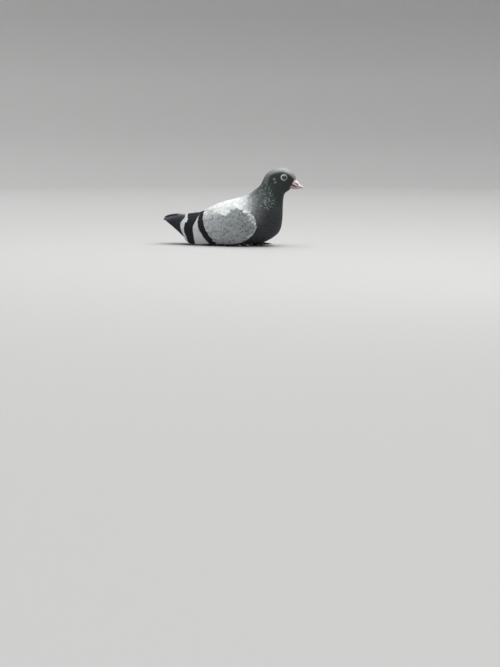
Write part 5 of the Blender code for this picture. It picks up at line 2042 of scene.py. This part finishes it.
def eye_finish(word, side):
    """A wet eye with a black pupil, a streaked iris and a dark rim."""
    made, tree, shader = new_finish(f"eye {word}", Roughness=0.05, Coat_Weight=1.0, Coat_Roughness=0.02)
    out = tuple(eye_direction(side))
    away = vector_maths(tree, "SUBTRACT", object_place(tree), tuple(eye_centre(side) * MM))
    along = vector_maths(tree, "SCALE", out, vector_maths(tree, "DOT_PRODUCT", away, out))
    flat = vector_maths(tree, "SUBTRACT", away, along)
    radius = vector_maths(tree, "LENGTH", flat)
    spokes = noise(tree, vector_maths(tree, "NORMALIZE", flat), 9.0, 4.0)
    iris = blend(tree, between(tree, spokes, 0.3, 0.7), IRIS_SHADED_DARK, IRIS_SHADED_BROWN)
    colour = blend(tree, between(tree, radius, *PUPIL_EDGE), iris, PUPIL_BLACK)
    colour = blend(tree, between(tree, radius, *IRIS_EDGE), colour, EYE_RIM)
    tree.links.new(colour, shader.inputs["Base Color"])
    return made


EYE_RINGS, EYE_SEGMENTS = 40, 48

for word, side in SIDES.items():
    across, up, out = ring_frame(side)
    ball = ball_points(EYE_RINGS, EYE_SEGMENTS) * EYE_RADIUS
    ball = ball[..., 0:1] * out + ball[..., 1:2] * across + ball[..., 2:3] * up
    eye = closed_piece(f"eyeball_{word}", ball + eye_centre(side), eye_finish(word, side))
    settle(eye, "eye", f"eye_{word}")

# %% [markdown]
# Ring and lids are one form: a section of a few points, swept round the eye's axis, crinkled by
# small waves and pinched by the lids.

# %% Eye rings and lids
RING_OUTWARD = 3.05
RING_ROWS = 60
RING_CRINKLE, RING_FOLDS = 0.05, 30
RING_PINCH = 0.035
# Inside this distance from the eye's axis the lid's edge is smooth, in mm.
LID_EDGE = 4.5
# The ring's section: distance from the eye's axis and height out of the head, in mm.
RING_SECTION = np.array([
    (4.42, 0.22), (4.50, 0.50), (4.68, 0.68), (4.90, 0.72), (5.10, 0.60), (5.24, 0.48), (5.42, 0.56),
    (5.75, 0.70), (6.10, 0.66), (6.45, 0.36), (6.68, -0.10), (6.75, -1.20), (5.40, -2.00), (4.60, -1.00),
])
RING_PALE, RING_GREY = (0.62, 0.62, 0.60, 1.0), (0.44, 0.44, 0.43, 1.0)

lid_finish, tree, shader = new_finish(
    "eye ring", Roughness=0.7, Subsurface_Weight=0.1, Subsurface_Radius=(0.001, 0.0008, 0.0007),
)
ring_colour, grain = bare_skin(tree, object_place(tree), 1400.0, RING_PALE, RING_GREY)
tree.links.new(ring_colour, shader.inputs["Base Color"])
bump(tree, shader, grain["Height"], 0.0002, 0.6)


def eye_ring(word, side):
    """The ring and the lids of one eye, swept all the way round it."""
    across, up, out = ring_frame(side)
    turn = (2 * math.pi * np.arange(RING_ROWS) / RING_ROWS)[:, None]
    crinkle = RING_CRINKLE * np.sin(turn * RING_FOLDS) * (RING_SECTION[:, 0] > LID_EDGE)
    radius = RING_SECTION[:, 0] * (1 + RING_PINCH * np.cos(2 * turn))
    height = RING_SECTION[:, 1] + RING_OUTWARD + crinkle
    ring = radius[..., None] * (np.cos(turn)[..., None] * across + np.sin(turn)[..., None] * up)
    ring = ring + height[..., None] * out + eye_centre(side)
    # The row after the last is the first one again.
    faces = grid_faces(RING_ROWS + 1, len(RING_SECTION), closed=True)
    faces = [tuple(v % radius.size for v in face) for face in faces]
    return face_outwards(new_piece(f"eye_ring_{word}", ring.reshape(-1, 3), faces, lid_finish))


for word, side in SIDES.items():
    settle(eye_ring(word, side), "eye_skin", f"eyelids_{word}")

# %% [markdown]
# ## Legs, feet and claws
#
# A pigeon's foot is bare, with a row of wide scutes over the top of each toe and round pads below.
# Each toe is a tube of rings that swells at every pad and steps in at every scute. Toes, sole and
# leg are fused into one skin.

# %% Sizes of the feet
FOOT_JOINT = {"right": (9.0, 24.0), "left": (35.0, 24.0)}
SOLE_HEIGHT = 1.9
ANKLE = np.array([-26.0, 1.0, 15.0])
# Heading from straight ahead in degrees, length and root radius in mm.
TOES = {
    "inner": (-26.0, 21.0, 2.2), "middle": (6.0, 28.5, 2.4), "outer": (36.0, 21.0, 2.2),
    "hind": (176.0, 12.5, 2.0),
}
TOE_SWELL = {
    0: 1, 0.12: 0.9, 0.24: 0.84, 0.40: 1, 0.55: 0.80, 0.70: 0.94, 0.83: 0.76, 0.93: 0.86,
    1: 0.60,
}
TOE_TAPER = 0.12
TOE_ARCH = 1.1
SCUTE_LENGTH = 1.35
SCUTE_STEP = 0.22
# Thinner than this a tube has no scutes, in mm.
SCUTE_LEAST = 0.9
FOOT_GRAIN = 0.34
FOOT_SMOOTHING = 1
UPWARD = np.array([0, 0, 1.0])


def foot_joint(word):
    """Where the toes of one foot meet, in mm."""
    joint_x, joint_y = FOOT_JOINT[word]
    return np.array([joint_x, SIDES[word] * joint_y, SOLE_HEIGHT])


def toe_line(word, toe_name):
    """The start, direction, length and root radius of one toe."""
    heading, length, root = TOES[toe_name]
    angle = math.radians(heading)
    forward = np.array([math.cos(angle), SIDES[word] * math.sin(angle), 0])
    return foot_joint(word), forward, length, root


def tube(name, path, radii, segments, finish, scutes=0.0, flat=1.0):
    """A closed tube round a path, with its upper side stepped by scutes."""
    path, radii = np.asarray(path, float), np.asarray(radii, float)
    forward = unit(np.gradient(path, axis=0))
    aside = unit(np.cross(UPWARD, forward))
    upward = np.cross(forward, aside)
    travelled = np.concatenate([[0], np.cumsum(np.linalg.norm(np.diff(path, axis=0), axis=1))])
    turn = (2 * math.pi * np.arange(segments) / segments)[None, :]
    scale = (travelled / SCUTE_LENGTH % 1.0)[:, None]
    step = scutes * (scale**2 - 0.5) * np.clip(np.sin(turn) + 0.35, 0, 1)
    reach = radii[:, None] + step * (radii[:, None] > SCUTE_LEAST)
    rings = path[:, None, :] + (np.cos(turn) * reach)[..., None] * aside[:, None, :]
    rings = rings + (np.sin(turn) * reach * flat)[..., None] * upward[:, None, :]
    return closed_piece(name, rings, finish, ends=True)


def fused(name, pieces):
    """Closed pieces fused into one skin by a fine voxel grid."""
    obj = joined(name, pieces)
    remesh = obj.modifiers.new("fuse", "REMESH")
    remesh.mode = "VOXEL"
    remesh.voxel_size = FOOT_GRAIN * MM
    soften = obj.modifiers.new("soften", "SMOOTH")
    soften.factor, soften.iterations = 0.5, FOOT_SMOOTHING
    finish = obj.data.materials[0]
    baked(obj)
    obj.data.materials.clear()
    obj.data.materials.append(finish)
    obj.data.shade_smooth()
    return obj


# %% [markdown]
# The skin is dark red, darker in the grooves between its scales, and the claws are brown-grey horn.

# %% Foot and claw finishes
FOOT_RED, FOOT_DEEP_RED = (0.24, 0.045, 0.038, 1.0), (0.14, 0.034, 0.030, 1.0)
FOOT_GROOVE = (0.07, 0.03, 0.028, 1.0)
CLAW_PALE, CLAW_DARK = (0.62, 0.58, 0.52, 1.0), (0.30, 0.26, 0.23, 1.0)

foot_finish, tree, shader = new_finish(
    "foot skin", Roughness=0.5, Subsurface_Weight=0.1, Subsurface_Radius=(0.001, 0.0006, 0.0005),
)
red, grain = bare_skin(tree, object_place(tree), 1100.0, FOOT_RED, FOOT_DEEP_RED)
red = blend(tree, between(tree, grain["Height"], 0.35, 0.55), red, FOOT_GROOVE)
tree.links.new(red, shader.inputs["Base Color"])
bump(tree, shader, grain["Height"], 0.0002, 0.5)

claw_finish, tree, shader = new_finish("claw horn", Roughness=0.35)
growth = noise(tree, object_place(tree), 500.0, 3.0)
claw_colour = blend(tree, between(tree, growth, 0.4, 0.7), CLAW_PALE, CLAW_DARK)
tree.links.new(claw_colour, shader.inputs["Base Color"])
print("foot finishes:", [foot_finish.name, claw_finish.name])

# %% [markdown]
# The sole is a low ball under the joint of the toes. The claws stay pieces of their own, set a
# little into the toe ends.

# %% Parts of a foot
SOLE_RADII, SOLE_RAISED = (4.2, 4.2, 2.6), 0.3
TOE_RINGS, TOE_SEGMENTS = 90, 20
LEG_RADIUS, LEG_RAISED = 2.35, 0.6
LEG_SWELL = {0: 1, 0.35: 0.92, 0.7: 1, 1: 1.15}
LEG_RINGS, LEG_SEGMENTS = 70, 24
CLAW_LENGTH = 6.5
CLAW_SET_IN = 0.8
CLAW_HEIGHT = {0.0: 0.25, 0.45: 0.45, 1.0: -0.8}
CLAW_RADIUS = {0.0: 1.15, 0.45: 0.95, 0.8: 0.6, 1.0: 0.2}
CLAW_DEEPER = 1.15
CLAW_RINGS, CLAW_SEGMENTS = 16, 12


def sole(word):
    """The ball of a foot."""
    points = ball_points(18, 24) * SOLE_RADII + foot_joint(word) + (0, 0, SOLE_RAISED)
    return closed_piece("sole", points, foot_finish)


def toe(word, toe_name):
    """One toe with its pads and scutes."""
    start, forward, length, root = toe_line(word, toe_name)
    t = np.linspace(0, 1, TOE_RINGS)
    path = start + forward * (length * t)[:, None] + UPWARD * (TOE_ARCH * np.sin(math.pi * t))[:, None]
    radii = root * smooth(TOE_SWELL, t) * (1 - TOE_TAPER * t)
    return tube("toe", path, radii, TOE_SEGMENTS, foot_finish, SCUTE_STEP)


def leg(word):
    """The leg, from the joint of the toes up and back to the ankle."""
    start = foot_joint(word) + (0, 0, LEG_RAISED)
    t = np.linspace(0, 1, LEG_RINGS)
    path = start + ANKLE * (1, SIDES[word], 1) * t[:, None]
    return tube("leg", path, LEG_RADIUS * smooth(LEG_SWELL, t), LEG_SEGMENTS, foot_finish, SCUTE_STEP)


def claw(word, toe_name):
    """One claw, set into the end of its toe and bent down."""
    start, forward, length, _ = toe_line(word, toe_name)
    t = np.linspace(0, 1, CLAW_RINGS)
    reach = forward * (CLAW_LENGTH * t - CLAW_SET_IN)[:, None]
    path = start + forward * length + reach + UPWARD * smooth(CLAW_HEIGHT, t)[:, None]
    return tube("claw", path, smooth(CLAW_RADIUS, t), CLAW_SEGMENTS, claw_finish, flat=CLAW_DEEPER)


for word in SIDES:
    foot = fused(f"leg_and_foot_{word}", [sole(word), *(toe(word, name) for name in TOES), leg(word)])
    kept_above(foot.data, 0.0)
    settle(foot, "leg_skin", f"foot_{word}", f"leg_{word}")
    settle(joined(f"claws_{word}", [claw(word, name) for name in TOES]), "bill_horn")

# %% [markdown]
# The helpers that were never part of the bird are removed.

# %% Close
for helper in (guide, slim_blank, small_blank, large_blank):
    bpy.data.objects.remove(helper)
